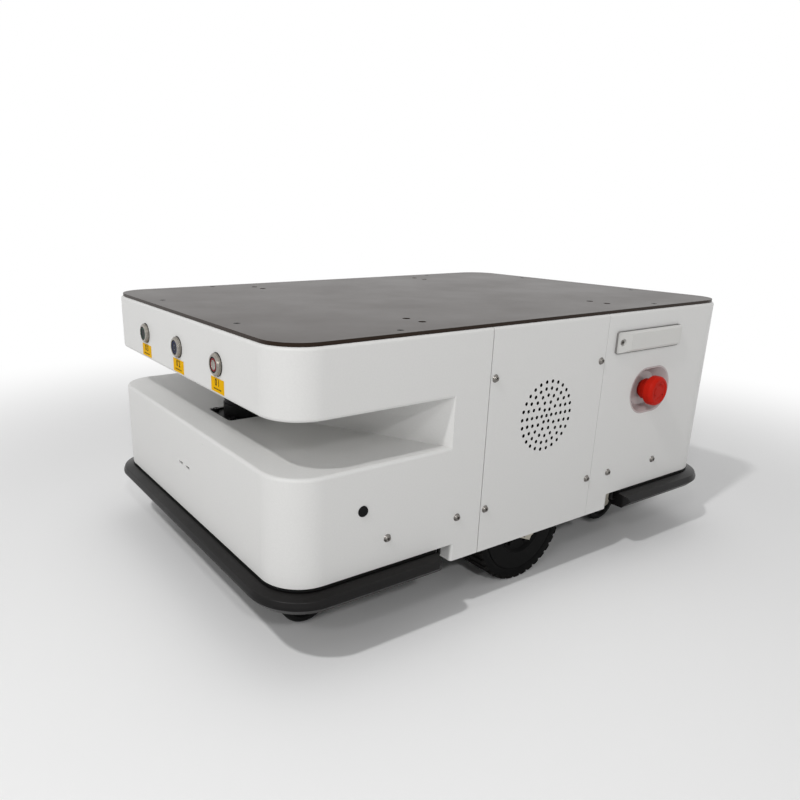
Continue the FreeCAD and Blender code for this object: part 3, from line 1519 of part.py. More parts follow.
def make_hub_shaft(side):
    """Fixed half of the hub motor: the shaft with its stator and the nut outside the strap."""
    label = "hub_shaft_" + side_name(side)
    body = new_body(label)
    nut = "strap_inner + strap_metal"
    low, high = across(side, "arm_inner", nut + " + axle_nut_height + axle_tip")
    pad(body, "XZ_Plane", low, high, disc("0", "wheel_radius", "axle_radius"))
    low, high = across(side, "wheel_middle - stator_offset - stator_half_width",
                       "wheel_middle - stator_offset + stator_half_width")
    pad(body, "XZ_Plane", low, high, disc("0", "wheel_radius", "stator_radius"))
    low, high = across(side, nut, nut + " + axle_nut_height")
    corners = []
    for step in range(6):
        angle = "60 * %d" % step
        corners.append(("1.5 * axle_radius * cos(%s)" % angle,
                        "wheel_radius + 1.5 * axle_radius * sin(%s)" % angle))
    pad(body, "XZ_Plane", low, high, outline(*corners))
    keep(body, label)


def make_wheel_rim(side):
    """Shell of the hub motor, closed on both sides, with a bolted dish on the outer face."""
    label = "wheel_rim_" + side_name(side)
    body = new_body(label)
    outer = mirrored(side, "rim_half_width")
    dish = mirrored(side, "rim_half_width - hub_dish_depth")
    inside = mirrored(side, "rim_half_width - hub_dish_depth - rim_wall")
    back = mirrored(side, "-rim_half_width")
    back_inside = mirrored(side, "-rim_half_width + rim_wall")
    bore = "axle_radius + running_clearance"
    turn(body, "YZ_Plane", "Y_Axis",
         outline((back, bore), (back, "tyre_inner_radius"), (outer, "tyre_inner_radius"),
                 (outer, "hub_dish_radius + 2"), (dish, "hub_dish_radius - 2"), (dish, bore),
                 (inside, bore), (inside, "rim_cavity_radius"),
                 (back_inside, "rim_cavity_radius"), (back_inside, bore)))
    low, high = across(side, "rim_half_width - hub_dish_depth",
                       "rim_half_width - hub_dish_depth + hub_bolt_height")
    bolt = pad(body, "XZ_Plane", low, high, disc("hub_bolt_circle", "0", "hub_bolt_radius"))
    ring_of(body, [bolt], "Y_Axis", 6)
    place(body, "0", mirrored(side, "wheel_middle"), "wheel_radius")
    keep(body, label)


def make_tyre(side):
    """Rubber tyre with cross lugs that stand in two staggered rows beside a centre rib."""
    label = "tyre_" + side_name(side)
    body = new_body(label)
    half = "wheel_width / 2"
    turn(body, "YZ_Plane", "Y_Axis",
         outline(("-(%s)" % half, "tyre_inner_radius"),
                 ("-(%s)" % half, "wheel_radius - tyre_shoulder"),
                 ("-(%s) + tyre_shoulder" % half, "wheel_radius"),
                 (half + " - tyre_shoulder", "wheel_radius"),
                 (half, "wheel_radius - tyre_shoulder"), (half, "tyre_inner_radius")))
    grooves = []
    rib = "lug_rib_half_width"
    for row, shift in ((1, "0"), (-1, "180 / lug_count")):
        low, high = across(row, rib, half + " + 1")
        corners = []
        for along, deep in ((-1, "0"), (1, "0"), (1, "1"), (-1, "1")):
            across_gap = "%d * lug_gap / 2" % along
            height = "wheel_radius - lug_depth + %s * (lug_depth + 1)" % deep
            x = "(%s) * cos(%s) - (%s) * sin(%s)" % (across_gap, shift, height, shift)
            z = "(%s) * sin(%s) + (%s) * cos(%s)" % (across_gap, shift, height, shift)
            corners.append((x, z))
        grooves.append(cut(body, "XZ_Plane", low, high, outline(*corners)))
    ring_of(body, grooves, "Y_Axis", int(number("lug_count")))
    place(body, "0", mirrored(side, "wheel_middle"), "wheel_radius")
    keep(body, label)


# ---------------------------------------------------------------- casters

def caster_spots():
    """Name, lengthwise sign and side of the four casters."""
    spots = []
    for end_name, end in (("front", 1), ("rear", -1)):
        for side in both:
            spots.append((end_name + "_" + side_name(side), end, side))
    return spots


def make_caster_plates():
    """Mounting plates, each with its raceway, kingpin and nut."""
    plates = []
    for name, end, side in caster_spots():
        body = new_body("caster_plate_" + name)
        half = "caster_plate_half"
        corner = "caster_plate_corner"
        pad(body, "XY_Plane", "base_bottom - caster_plate_metal", "base_bottom",
            outline(("-" + half, "-" + half, corner), (half, "-" + half, corner),
                    (half, half, corner), ("-" + half, half, corner)))
        pad(body, "XY_Plane", "raceway_bottom", "base_bottom - caster_plate_metal",
            disc("0", "0", "raceway_radius"))
        crown = "raceway_bottom - swivel_gap - crown_height - swivel_gap"
        pad(body, "XY_Plane", crown, "raceway_bottom", disc("0", "0", "kingpin_radius"))
        pad(body, "XY_Plane", crown + " - kingpin_nut_height", crown,
            disc("0", "0", "kingpin_nut_radius"))
        place(body, mirrored(end, "caster_x"), mirrored(side, "caster_y"), "0")
        plates.append(body)
    group("caster_plates", plates)


def make_caster_fork(name, end, side):
    """Swivel fork: crown under the raceway, two legs that trail, and the wheel's axle."""
    fork = new_body("fork_" + name)
    top = "raceway_bottom - swivel_gap"
    pad(fork, "XY_Plane", top + " - crown_height", top,
        disc("0", "0", "crown_radius"), disc("0", "0", "kingpin_radius + kingpin_clearance"))
    leg = outline(("-0.7 * crown_radius", top), ("0.8 * crown_radius", top),
                  ("caster_trail + 1.3 * fork_end_radius", "caster_radius + 6", "fork_corner"),
                  ("caster_trail + fork_end_radius", "caster_radius - fork_end_radius", "fork_corner"),
                  ("caster_trail - fork_end_radius", "caster_radius - fork_end_radius",
                   "fork_corner - 1"))
    for row in both:
        low, high = across(row, "fork_inner", "fork_inner + fork_metal")
        pad(fork, "XZ_Plane", low, high, leg)
    cut(fork, "XZ_Plane", "-body_width", "body_width",
        disc("caster_trail", "caster_radius", "caster_axle_radius"))
    reach = "fork_inner + fork_metal + caster_axle_end"
    axle = cylinder("caster_axle_" + name, "caster_axle_radius", "2 * (%s)" % reach)
    face_along(axle, (0, 1, 0))
    place(axle, "caster_trail", "-(%s)" % reach, "caster_radius")
    whole = document.addObject("Part::Compound", "caster_fork_" + name)
    whole.Links = [fork, axle]
    place(whole, mirrored(end, "caster_x"), mirrored(side, "caster_y"), "0")
    keep(whole, "caster_fork_" + name)


def make_caster_wheel(name, end, side):
    """Caster wheel: crowned tread, recessed sides and a wider hub."""
    body = new_body("caster_wheel_" + name)
    half = "caster_width / 2"
    hub = "caster_hub_width / 2"
    bore = "caster_axle_radius + running_clearance"
    sunk = half + " - caster_side_recess"
    boss = "caster_hub_radius - caster_hub_step"
    rim = "caster_radius - caster_rim"
    tread = "caster_tread_round"
    turn(body, "YZ_Plane", "Y_Axis",
         outline(("-(%s)" % hub, bore), ("-(%s)" % hub, boss), ("-(%s)" % sunk, "caster_hub_radius"),
                 ("-(%s)" % sunk, rim), ("-(%s)" % half, rim + " + 2"),
                 ("-(%s)" % half, "caster_radius", tread), (half, "caster_radius", tread),
                 (half, rim + " + 2"), (sunk, rim), (sunk, "caster_hub_radius"), (hub, boss),
                 (hub, bore)))
    place(body, mirrored(end, "caster_x") + " + caster_trail", mirrored(side, "caster_y"),
          "caster_radius")
    keep(body, "caster_wheel_" + name)


# ---------------------------------------------------------------- inner units

def make_battery():
    """Battery pack between the rails, strapped to the base plate."""
    body = new_body("battery_pack")
    low = "base_top"
    pad(body, "XY_Plane", low, low + " + battery_height",
        rectangle("battery_rear", "battery_front", "-battery_half_width", "battery_half_width"))
    bevel_edges(body, "battery_edge", lambda box: same(box.XLength + box.YLength, 0))
    pad(body, "XY_Plane", low + " + battery_height", low + " + battery_height + battery_plug_height",
        rectangle("battery_rear + battery_plug_side / 2", "battery_rear + 1.5 * battery_plug_side",
                  "-battery_plug_side / 2", "battery_plug_side / 2"))
    keep(body, "battery_pack")


def make_finned_unit(label, rear, front, half_width):
    """Electronics box with cooling fins along its top."""
    body = new_body(label)
    low = "base_top"
    pad(body, "XY_Plane", low, low + " + unit_height",
        outline((rear, "-" + half_width, "unit_corner"), (front, "-" + half_width, "unit_corner"),
                (front, half_width, "unit_corner"), (rear, half_width, "unit_corner")))
    fins = []
    for index in range(int(number("fin_count"))):
        middle = "(2 * %d / (fin_count - 1) - 1) * (%s - fin_edge)" % (index, half_width)
        fins.append(rectangle(rear + " + fin_edge", front + " - fin_edge",
                              middle + " - fin_metal / 2", middle + " + fin_metal / 2"))
    pad(body, "XY_Plane", low + " + unit_height", low + " + unit_height + fin_height", *fins)
    keep(body, label)


def make_charge_socket():
    """Charging face on the tail: a plastic frame with two flat contacts."""
    frame = new_body("charge_frame")
    face = "-body_length / 2"
    pad(frame, "YZ_Plane", face + " - charge_lip", face,
        rectangle("-charge_half_width", "charge_half_width", "charge_z - charge_half_height",
                  "charge_z + charge_half_height"))
    inset = "charge_lip + charge_step + seat_clearance"
    pad(frame, "YZ_Plane", face, face + " + charge_depth",
        rectangle("-charge_half_width + " + inset, "charge_half_width - (%s)" % inset,
                  "charge_z - charge_half_height + " + inset,
                  "charge_z + charge_half_height - (%s)" % inset))
    parts = [frame]
    for side in both:
        contact = document.addObject("Part::Box", "charge_contact")
        bind(contact, Length="charge_lip / 2", Width="contact_length",
             Height="2 * contact_half_height")
        place(contact, face + " - 1.5 * charge_lip",
              mirrored(side, "contact_offset") + " - contact_length / 2",
              "charge_z - contact_half_height")
        parts.append(contact)
    group("charge_socket", parts)


# ---------------------------------------------------------------- build

make_base_plate()
for side in both:
    make_side_rail(side)
    make_suspension_bracket(side)
make_bulkhead("front_bulkhead", 1)
make_bulkhead("rear_bulkhead", -1)
make_load_plate()
make_plate_screws()
make_nose_cover()
make_tail_cover()
for side in both:
    make_side_panel(side)
make_cover_screws()
make_hole_plugs()
make_bumpers()
make_bumper_leads()
make_antenna_cover()
make_stop_button()
make_buttons()
make_labels()
make_scanner()
make_speaker()
make_battery()
make_finned_unit("drive_controller", "controller_rear", "controller_front", "controller_half_width")
make_finned_unit("control_computer", "computer_rear", "computer_front", "computer_half_width")
make_charge_socket()
make_pivot_pins()
for side in both:
    make_drive_arm(side)
    make_spring(side)
    make_hub_shaft(side)
    make_wheel_rim(side)
    make_tyre(side)
make_caster_plates()
for name, end, side in caster_spots():
    make_caster_fork(name, end, side)
    make_caster_wheel(name, end, side)

document.recompute()
for thing in document.Objects:
    if "Invalid" in thing.State or "Error" in thing.State:
        raise RuntimeError("%s failed: %s" % (thing.Label, thing.State))
for node in nodes:
    if node.Shape.isNull() or not node.Shape.isValid():
        raise RuntimeError("%s has no valid shape" % node.Label)
for node in nodes:
    node.Shape.exportStep("parts/%s.step" % node.Label)
print(len(nodes), "sub-parts written")
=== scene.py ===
# %% [markdown]
# A floor robot is mostly sheet metal: folded white covers round a dark chassis, a black load plate
# on top, rubber bumpers and a few bought-in parts such as buttons and a laser scanner.
# The measured parts come in as a fixed frame. This lesson gives each of them its finish, and models
# the small pieces that the frame leaves plain.

# %% Load the frame
import bpy
import json
import math
from mathutils import Matrix, Vector


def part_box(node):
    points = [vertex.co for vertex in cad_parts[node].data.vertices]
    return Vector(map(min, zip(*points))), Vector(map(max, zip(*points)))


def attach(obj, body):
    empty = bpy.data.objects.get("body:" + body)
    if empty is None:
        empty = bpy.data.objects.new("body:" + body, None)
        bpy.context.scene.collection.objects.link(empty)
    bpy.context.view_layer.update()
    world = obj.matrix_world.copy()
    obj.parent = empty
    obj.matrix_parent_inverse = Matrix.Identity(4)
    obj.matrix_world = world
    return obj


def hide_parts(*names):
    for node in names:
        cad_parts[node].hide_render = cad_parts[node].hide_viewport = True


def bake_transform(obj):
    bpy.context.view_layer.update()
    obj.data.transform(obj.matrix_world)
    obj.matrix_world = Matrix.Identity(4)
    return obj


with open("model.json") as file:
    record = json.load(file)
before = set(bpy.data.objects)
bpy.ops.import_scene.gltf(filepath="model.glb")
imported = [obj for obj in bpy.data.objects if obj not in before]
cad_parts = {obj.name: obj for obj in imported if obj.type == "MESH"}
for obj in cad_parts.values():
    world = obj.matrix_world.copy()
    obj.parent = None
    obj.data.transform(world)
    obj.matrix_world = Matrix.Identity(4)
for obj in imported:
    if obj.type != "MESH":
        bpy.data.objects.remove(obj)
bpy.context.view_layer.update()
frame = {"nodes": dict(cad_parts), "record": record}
nodes = frame["nodes"]

# %% [markdown]
# The robot stands at three-quarter view, seen from its left front and from not much above its top,
# so that the plate's face is seen at a low angle. A camera is placed by where it stands, which way it
# looks and a hint of roll. The shift slides the picture without turning the camera.

# %% Place the camera
camera_place = Vector((0.6596, 0.7813, 0.4637))
look = Vector((-0.5224, -0.7990, -0.2977)).normalized()
level_right = Vector((-0.8386, 0.5446, 0.0099))
right = (level_right - look * level_right.dot(look)).normalized()
up = right.cross(look)
camera_data = bpy.data.cameras.new("camera")
camera_data.sensor_width = 36
camera_data.lens = 31.33
camera_data.shift_x = 0.088
camera_data.shift_y = 0.0324
camera_data.clip_start = 0.01
camera = bpy.data.objects.new("camera", camera_data)
camera.matrix_world = Matrix((right, up, -look)).transposed().to_4x4()
camera.location = camera_place
bpy.context.scene.collection.objects.link(camera)
bpy.context.scene.camera = camera
bpy.context.scene.view_settings.view_transform = "Standard"
print("camera looks along", [round(v, 3) for v in look])

# %% [markdown]
# A material in Blender is a small graph. These helpers keep the graphs short to write: one makes a
# node, one joins two sockets, and one starts a material with its shader.

# %% Helpers for node graphs
def add_node(tree, kind, **inputs):
    node = tree.nodes.new(kind)
    for name, value in inputs.items():
        node.inputs[name.replace("_", " ")].default_value = value
    return node


def join(tree, source, target):
    tree.links.new(source, target)


def open_group(name, inputs, outputs):
    group = bpy.data.node_groups.new(name, "ShaderNodeTree")
    for socket, kind, value in inputs:
        item = group.interface.new_socket(socket, in_out="INPUT", socket_type=kind)
        item.default_value = value
    for socket, kind in outputs:
        group.interface.new_socket(socket, in_out="OUTPUT", socket_type=kind)
    return group, group.nodes.new("NodeGroupInput"), group.nodes.new("NodeGroupOutput")


def use_group(tree, group, **inputs):
    node = tree.nodes.new("ShaderNodeGroup")
    node.node_tree = group
    for name, value in inputs.items():
        node.inputs[name.replace("_", " ")].default_value = value
    return node


def start_material(name, colour, roughness, metallic=0.0):
    material = bpy.data.materials.new(name)
    material.use_nodes = True
    tree = material.node_tree
    shader = tree.nodes["Principled BSDF"]
    shader.inputs["Base Color"].default_value = (*colour, 1.0)
    shader.inputs["Roughness"].default_value = roughness
    shader.inputs["Metallic"].default_value = metallic
    return material, tree, shader

# %% [markdown]
# Three surface effects come back on many parts, so each is a node group.
# Grain is the fine relief of powder coat and moulded plastic: two noises added, given out as a height
# and as a tone between 0 and 1. Patches are the wide, faint differences in gloss that every real
# surface has. Settling is the light dust that lies on faces that look up.

# %% Build the grain group
grain, start, end = open_group(
    "grain",
    [("Scale", "NodeSocketFloat", 900.0), ("Mix", "NodeSocketFloat", 0.5)],
    [("Height", "NodeSocketFloat"), ("Tone", "NodeSocketFloat")])
place = add_node(grain, "ShaderNodeTexCoord")
fine = add_node(grain, "ShaderNodeTexNoise", Detail=2.0, Roughness=0.55)
coarse = add_node(grain, "ShaderNodeTexNoise", Detail=1.0, Roughness=0.5)
ratio = add_node(grain, "ShaderNodeMath")
ratio.operation = "MULTIPLY"
ratio.inputs[1].default_value = 0.31
blend = add_node(grain, "ShaderNodeMix")
join(grain, place.outputs["Object"], fine.inputs["Vector"])
join(grain, place.outputs["Object"], coarse.inputs["Vector"])
join(grain, start.outputs["Scale"], fine.inputs["Scale"])
join(grain, start.outputs["Scale"], ratio.inputs[0])
join(grain, ratio.outputs[0], coarse.inputs["Scale"])
join(grain, start.outputs["Mix"], blend.inputs["Factor"])
join(grain, fine.outputs["Fac"], blend.inputs["A"])
join(grain, coarse.outputs["Fac"], blend.inputs["B"])
join(grain, blend.outputs["Result"], end.inputs["Height"])
join(grain, fine.outputs["Fac"], end.inputs["Tone"])

# %% Build the patches group
patches, start, end = open_group(
    "patches",
    [("Scale", "NodeSocketFloat", 9.0), ("Low", "NodeSocketFloat", 0.4),
     ("High", "NodeSocketFloat", 0.5)],
    [("Value", "NodeSocketFloat")])
place = add_node(patches, "ShaderNodeTexCoord")
cloud = add_node(patches, "ShaderNodeTexNoise", Detail=4.0, Roughness=0.6)
spread = add_node(patches, "ShaderNodeMapRange", From_Min=0.35, From_Max=0.65)
join(patches, place.outputs["Object"], cloud.inputs["Vector"])
join(patches, start.outputs["Scale"], cloud.inputs["Scale"])
join(patches, cloud.outputs["Fac"], spread.inputs["Value"])
join(patches, start.outputs["Low"], spread.inputs["To Min"])
join(patches, start.outputs["High"], spread.inputs["To Max"])
join(patches, spread.outputs["Result"], end.inputs["Value"])

# %% Build the settling group
settling, start, end = open_group(
    "settling",
    [("Scale", "NodeSocketFloat", 40.0), ("Amount", "NodeSocketFloat", 0.1)],
    [("Mask", "NodeSocketFloat")])
place = add_node(settling, "ShaderNodeTexCoord")
facing = add_node(settling, "ShaderNodeNewGeometry")
axes = add_node(settling, "ShaderNodeSeparateXYZ")
flecks = add_node(settling, "ShaderNodeTexNoise", Detail=6.0, Roughness=0.7)
upward = add_node(settling, "ShaderNodeMapRange", From_Min=0.3, From_Max=1.0)
lie = add_node(settling, "ShaderNodeMath")
lie.operation = "MULTIPLY"
scaled = add_node(settling, "ShaderNodeMath")
scaled.operation = "MULTIPLY"
join(settling, facing.outputs["Normal"], axes.inputs["Vector"])
join(settling, axes.outputs["Z"], upward.inputs["Value"])
join(settling, place.outputs["Object"], flecks.inputs["Vector"])
join(settling, start.outputs["Scale"], flecks.inputs["Scale"])
join(settling, upward.outputs["Result"], lie.inputs[0])
join(settling, flecks.outputs["Fac"], lie.inputs[1])
join(settling, lie.outputs[0], scaled.inputs[0])
join(settling, start.outputs["Amount"], scaled.inputs[1])
join(settling, scaled.outputs[0], end.inputs["Mask"])
print("groups:", [group.name for group in bpy.data.node_groups])

# %% [markdown]
# Most finishes here differ only in numbers: colour, gloss, how coarse the grain is, how deep it
# stands, and how much dust lies on top. One function wires the three groups to a shader, and each
# finish is then one call. Paint and rubber mirror far less than glass does, so each finish also says
# how much of the plain mirror it keeps.

# %% A finish from the three groups
def make_finish(name, colour, tint, gloss, grain_scale, relief, mirror=0.5, dust=0.0, coat=0.0):
    """tint is the colour of the grain's low spots, gloss the lowest and highest roughness."""
    material, tree, shader = start_material(name, colour, gloss[0])
    relief_node = use_group(tree, grain, Scale=grain_scale)
    gloss_node = use_group(tree, patches, Low=gloss[0], High=gloss[1])
    dust_node = use_group(tree, settling, Amount=dust)
    tone = add_node(tree, "ShaderNodeMix")
    tone.data_type = "RGBA"
    tone.inputs["A"].default_value = (*tint, 1.0)
    tone.inputs["B"].default_value = (*colour, 1.0)
    dusty = add_node(tree, "ShaderNodeMix")
    dusty.data_type = "RGBA"
    dusty.inputs["B"].default_value = (0.30, 0.28, 0.26, 1.0)
    bump = add_node(tree, "ShaderNodeBump", Strength=1.0, Distance=relief)
    join(tree, relief_node.outputs["Tone"], tone.inputs["Factor"])
    join(tree, tone.outputs["Result"], dusty.inputs["A"])
    join(tree, dust_node.outputs["Mask"], dusty.inputs["Factor"])
    join(tree, dusty.outputs["Result"], shader.inputs["Base Color"])
    join(tree, gloss_node.outputs["Value"], shader.inputs["Roughness"])
    join(tree, relief_node.outputs["Height"], bump.inputs["Height"])
    join(tree, bump.outputs["Normal"], shader.inputs["Normal"])
    shader.inputs["Specular IOR Level"].default_value = mirror
    shader.inputs["Coat Weight"].default_value = coat
    return material


finishes = {}
finishes["white_coated_steel"] = make_finish(
    "white_powder_coat", (0.690, 0.687, 0.675), (0.640, 0.637, 0.626), (0.38, 0.46), 520, 0.00009,
    mirror=0.35)
finishes["load_plate_black"] = make_finish(
    "black_plate_coat", (0.025, 0.0150, 0.0095), (0.019, 0.0110, 0.0070), (0.28, 0.32), 1500, 0.00001,
    mirror=0.10)
finishes["black_coated_steel"] = make_finish(
    "black_chassis_coat", (0.008, 0.008, 0.008), (0.005, 0.005, 0.005), (0.5, 0.62), 900, 0.00006,
    mirror=0.10, dust=0.03)
finishes["white_plastic"] = make_finish(
    "white_moulding", (0.61, 0.605, 0.585), (0.575, 0.57, 0.55), (0.34, 0.40), 1800, 0.00002,
    mirror=0.4)
finishes["bowl_plastic"] = make_finish(
    "bowl_gloss", (0.46, 0.395, 0.392), (0.43, 0.365, 0.362), (0.18, 0.24), 500, 0.00001,
    mirror=0.4, coat=0.1)
finishes["black_plastic"] = make_finish(
    "black_moulding", (0.006, 0.006, 0.006), (0.004, 0.004, 0.004), (0.34, 0.44), 1600, 0.00003,
    mirror=0.09)
finishes["red_plastic"] = make_finish(
    "stop_red", (0.50, 0.015, 0.007), (0.44, 0.012, 0.006), (0.34, 0.42), 700, 0.00001, mirror=0.05)
finishes["label_yellow"] = make_finish(
    "label_yellow", (0.76, 0.42, 0.0), (0.72, 0.39, 0.0), (0.55, 0.62), 900, 0.00001, mirror=0.03)
finishes["bumper_rubber"] = make_finish(
    "bumper_rubber", (0.006, 0.0054, 0.0054), (0.003, 0.0027, 0.0027), (0.32, 0.42), 700, 0.00008,
    mirror=0.17, dust=0.02)
finishes["caster_tread"] = make_finish(
    "caster_tread", (0.009, 0.009, 0.009), (0.005, 0.005, 0.005), (0.4, 0.5), 900, 0.00005,
    mirror=0.15, dust=0.03)
finishes["black_painted"] = make_finish(
    "hub_black", (0.004, 0.004, 0.004), (0.0025, 0.0025, 0.0025), (0.4, 0.5), 900, 0.00005,
    mirror=0.05)
finishes["battery_case"] = make_finish(
    "battery_case", (0.05, 0.055, 0.065), (0.04, 0.045, 0.055), (0.4, 0.5), 900, 0.00006, dust=0.1)
print(len(finishes), "finishes from the groups")

# %% [markdown]
# Bare metal is different: its brightness comes from what it mirrors, and its brushing or plating is a
# variation in roughness. Stainless screws, zinc-plated brackets and anodised boxes share one
# recipe with different colours and streaks.

# %% Metals
def make_metal(name, colour, dull, gloss, streak, relief):
    material, tree, shader = start_material(name, colour, gloss[0], 1.0)
    place = add_node(tree, "ShaderNodeTexCoord")
    stretch = add_node(tree, "ShaderNodeMapping")
    stretch.inputs["Scale"].default_value = streak
    lines = add_node(tree, "ShaderNodeTexNoise", Scale=60.0, Detail=4.0, Roughness=0.6)
    spread = add_node(
        tree, "ShaderNodeMapRange", From_Min=0.3, From_Max=0.7, To_Min=gloss[0], To_Max=gloss[1])
    tone = add_node(tree, "ShaderNodeMix")
    tone.data_type = "RGBA"
    tone.inputs["A"].default_value = (*colour, 1.0)
    tone.inputs["B"].default_value = (*dull, 1.0)
    bump = add_node(tree, "ShaderNodeBump", Strength=1.0, Distance=relief)
    join(tree, place.outputs["Object"], stretch.inputs["Vector"])
    join(tree, stretch.outputs["Vector"], lines.inputs["Vector"])
    join(tree, lines.outputs["Fac"], spread.inputs["Value"])
    join(tree, spread.outputs["Result"], shader.inputs["Roughness"])
    join(tree, lines.outputs["Fac"], tone.inputs["Factor"])
    join(tree, tone.outputs["Result"], shader.inputs["Base Color"])
    join(tree, lines.outputs["Fac"], bump.inputs["Height"])
    join(tree, bump.outputs["Normal"], shader.inputs["Normal"])
    return material


finishes["stainless"] = make_metal(
    "stainless", (0.30, 0.285, 0.265), (0.10, 0.094, 0.088), (0.20, 0.34), (8, 8, 8), 0.00001)
finishes["zinc_plated"] = make_metal(
    "zinc_plate", (0.50, 0.47, 0.40), (0.36, 0.34, 0.29), (0.30, 0.5), (1, 1, 6), 0.00002)
finishes["chrome_bezel"] = make_metal(
    "bezel_steel", (0.48, 0.45, 0.40), (0.10, 0.09, 0.08), (0.16, 0.3), (5, 5, 5), 0.00001)
finishes["aluminium_case"] = make_metal(
    "anodised_case", (0.50, 0.50, 0.52), (0.42, 0.42, 0.44), (0.35, 0.5), (1, 8, 8), 0.00001)
print("metals added:", len(finishes), "finishes in all")

# %% [markdown]
# The button lenses and the scanner's window are dark, glossy plastic. The window lets infrared
# through and looks black to the eye, so a deep colour under a clear coat is all it needs. The rings
# round the lenses are tinted light guides, which stay dark while their lamp is off.

# %% Dark glossy plastics
def make_gloss(name, colour, low, high, coat=0.6):
    material, tree, shader = start_material(name, colour, low)
    gloss_node = use_group(tree, patches, Low=low, High=high, Scale=60.0)
    join(tree, gloss_node.outputs["Value"], shader.inputs["Roughness"])
    shader.inputs["Specular IOR Level"].default_value = 0.03
    shader.inputs["Coat Weight"].default_value = coat
    shader.inputs["Coat Roughness"].default_value = 0.08
    return material


finishes["button_lens"] = make_gloss("button_lens", (0.006, 0.006, 0.008), 0.16, 0.24, 0.0)
window_black = make_gloss("window_black", (0.005, 0.004, 0.006), 0.05, 0.1, 0.2)
guide_red = make_gloss("guide_red", (0.25, 0.010, 0.012), 0.2, 0.3, 0.0)
guide_blue = make_gloss("guide_blue", (0.012, 0.018, 0.075), 0.2, 0.3, 0.0)
guide_green = make_gloss("guide_green", (0.006, 0.045, 0.026), 0.2, 0.3, 0.0)
mark_grey = make_gloss("mark_grey", (0.10, 0.105, 0.14), 0.25, 0.35, 0.0)
print_black = make_gloss("print_black", (0.020, 0.014, 0.008), 0.5, 0.6, 0.0)
# A grey for the sheet that paints the shadow gap round the antenna cover.
gap_shade_grey = make_gloss("gap_shade_grey", (0.20, 0.195, 0.19), 0.5, 0.6, 0.0)

# %% [markdown]
# Two finishes need a mask of their own. The stop button's shaft is black inside the cover and red
# where it stands out of the bowl, so the colour changes at a height along the shaft. That red is darker
# than the head's red, which paints the shade under the head. The tyre is cleaner on its flanks than on
# its tread, where dust from the floor is pressed into the rubber, so the dust there follows the distance
# from the axle.

# %% The stop button's shaft and the tyre
def split_by_height(name, low_colour, high_colour, axis, height):
    material, tree, shader = start_material(name, high_colour, 0.4)
    place = add_node(tree, "ShaderNodeTexCoord")
    axes = add_node(tree, "ShaderNodeSeparateXYZ")
    above = add_node(tree, "ShaderNodeMath")
    above.operation = "GREATER_THAN"
    above.inputs[1].default_value = height
    tone = add_node(tree, "ShaderNodeMix")
    tone.data_type = "RGBA"
    tone.inputs["A"].default_value = (*low_colour, 1.0)
    tone.inputs["B"].default_value = (*high_colour, 1.0)
    gloss_node = use_group(tree, patches, Low=0.34, High=0.44, Scale=30.0)
    join(tree, place.outputs["Object"], axes.inputs["Vector"])
    join(tree, axes.outputs[axis], above.inputs[0])
    join(tree, above.outputs[0], tone.inputs["Factor"])
    join(tree, tone.outputs["Result"], shader.inputs["Base Color"])
    join(tree, gloss_node.outputs["Value"], shader.inputs["Roughness"])
    shader.inputs["Specular IOR Level"].default_value = 0.1
    return material


# The red above the height is darker than the head's red: painted shade under the head.
shaft_black_and_shaded_red = split_by_height("stop_shaft", (0.006, 0.006, 0.006), (0.28, 0.008, 0.005), "Y", 0.2365)

axle_height = 0.075
tread_start = 0.068
tread_end = 0.0745


def make_tyre_finish():
    material, tree, shader = start_material("tyre_rubber", (0.010, 0.010, 0.010), 0.6)
    relief_node = use_group(tree, grain, Scale=500.0)
    gloss_node = use_group(tree, patches, Low=0.5, High=0.66, Scale=25.0)
    place = add_node(tree, "ShaderNodeTexCoord")
    centre = add_node(tree, "ShaderNodeMapping")
    centre.inputs["Location"].default_value = (0, 0, -axle_height)
    centre.inputs["Scale"].default_value = (1, 0, 1)
    reach = add_node(tree, "ShaderNodeVectorMath")
    reach.operation = "LENGTH"
    worn = add_node(tree, "ShaderNodeMapRange", From_Min=tread_start, From_Max=tread_end)
    part = add_node(tree, "ShaderNodeMath")
    part.operation = "MULTIPLY"
    tone = add_node(tree, "ShaderNodeMix")
    tone.data_type = "RGBA"
    tone.inputs["A"].default_value = (0.003, 0.003, 0.003, 1.0)
    tone.inputs["B"].default_value = (0.012, 0.011, 0.010, 1.0)
    bump = add_node(tree, "ShaderNodeBump", Strength=1.0, Distance=0.0001)
    join(tree, place.outputs["Object"], centre.inputs["Vector"])
    join(tree, centre.outputs["Vector"], reach.inputs[0])
    join(tree, reach.outputs["Value"], worn.inputs["Value"])
    join(tree, worn.outputs["Result"], part.inputs[0])
    join(tree, relief_node.outputs["Tone"], part.inputs[1])
    join(tree, part.outputs[0], tone.inputs["Factor"])
    join(tree, tone.outputs["Result"], shader.inputs["Base Color"])
    join(tree, gloss_node.outputs["Value"], shader.inputs["Roughness"])
    join(tree, relief_node.outputs["Height"], bump.inputs["Height"])
    join(tree, bump.outputs["Normal"], shader.inputs["Normal"])
    shader.inputs["Specular IOR Level"].default_value = 0.05
    return material


finishes["tyre_rubber"] = make_tyre_finish()
print(len(finishes), "finishes for the record's slots")

# %% [markdown]
# The sound holes look black from outside, because little light gets behind the panel and the walls of
# the holes are in the shade. The panel's own paint carries that: inside a
# circle round the loudspeaker, all that lies below the outer face is painted dark.

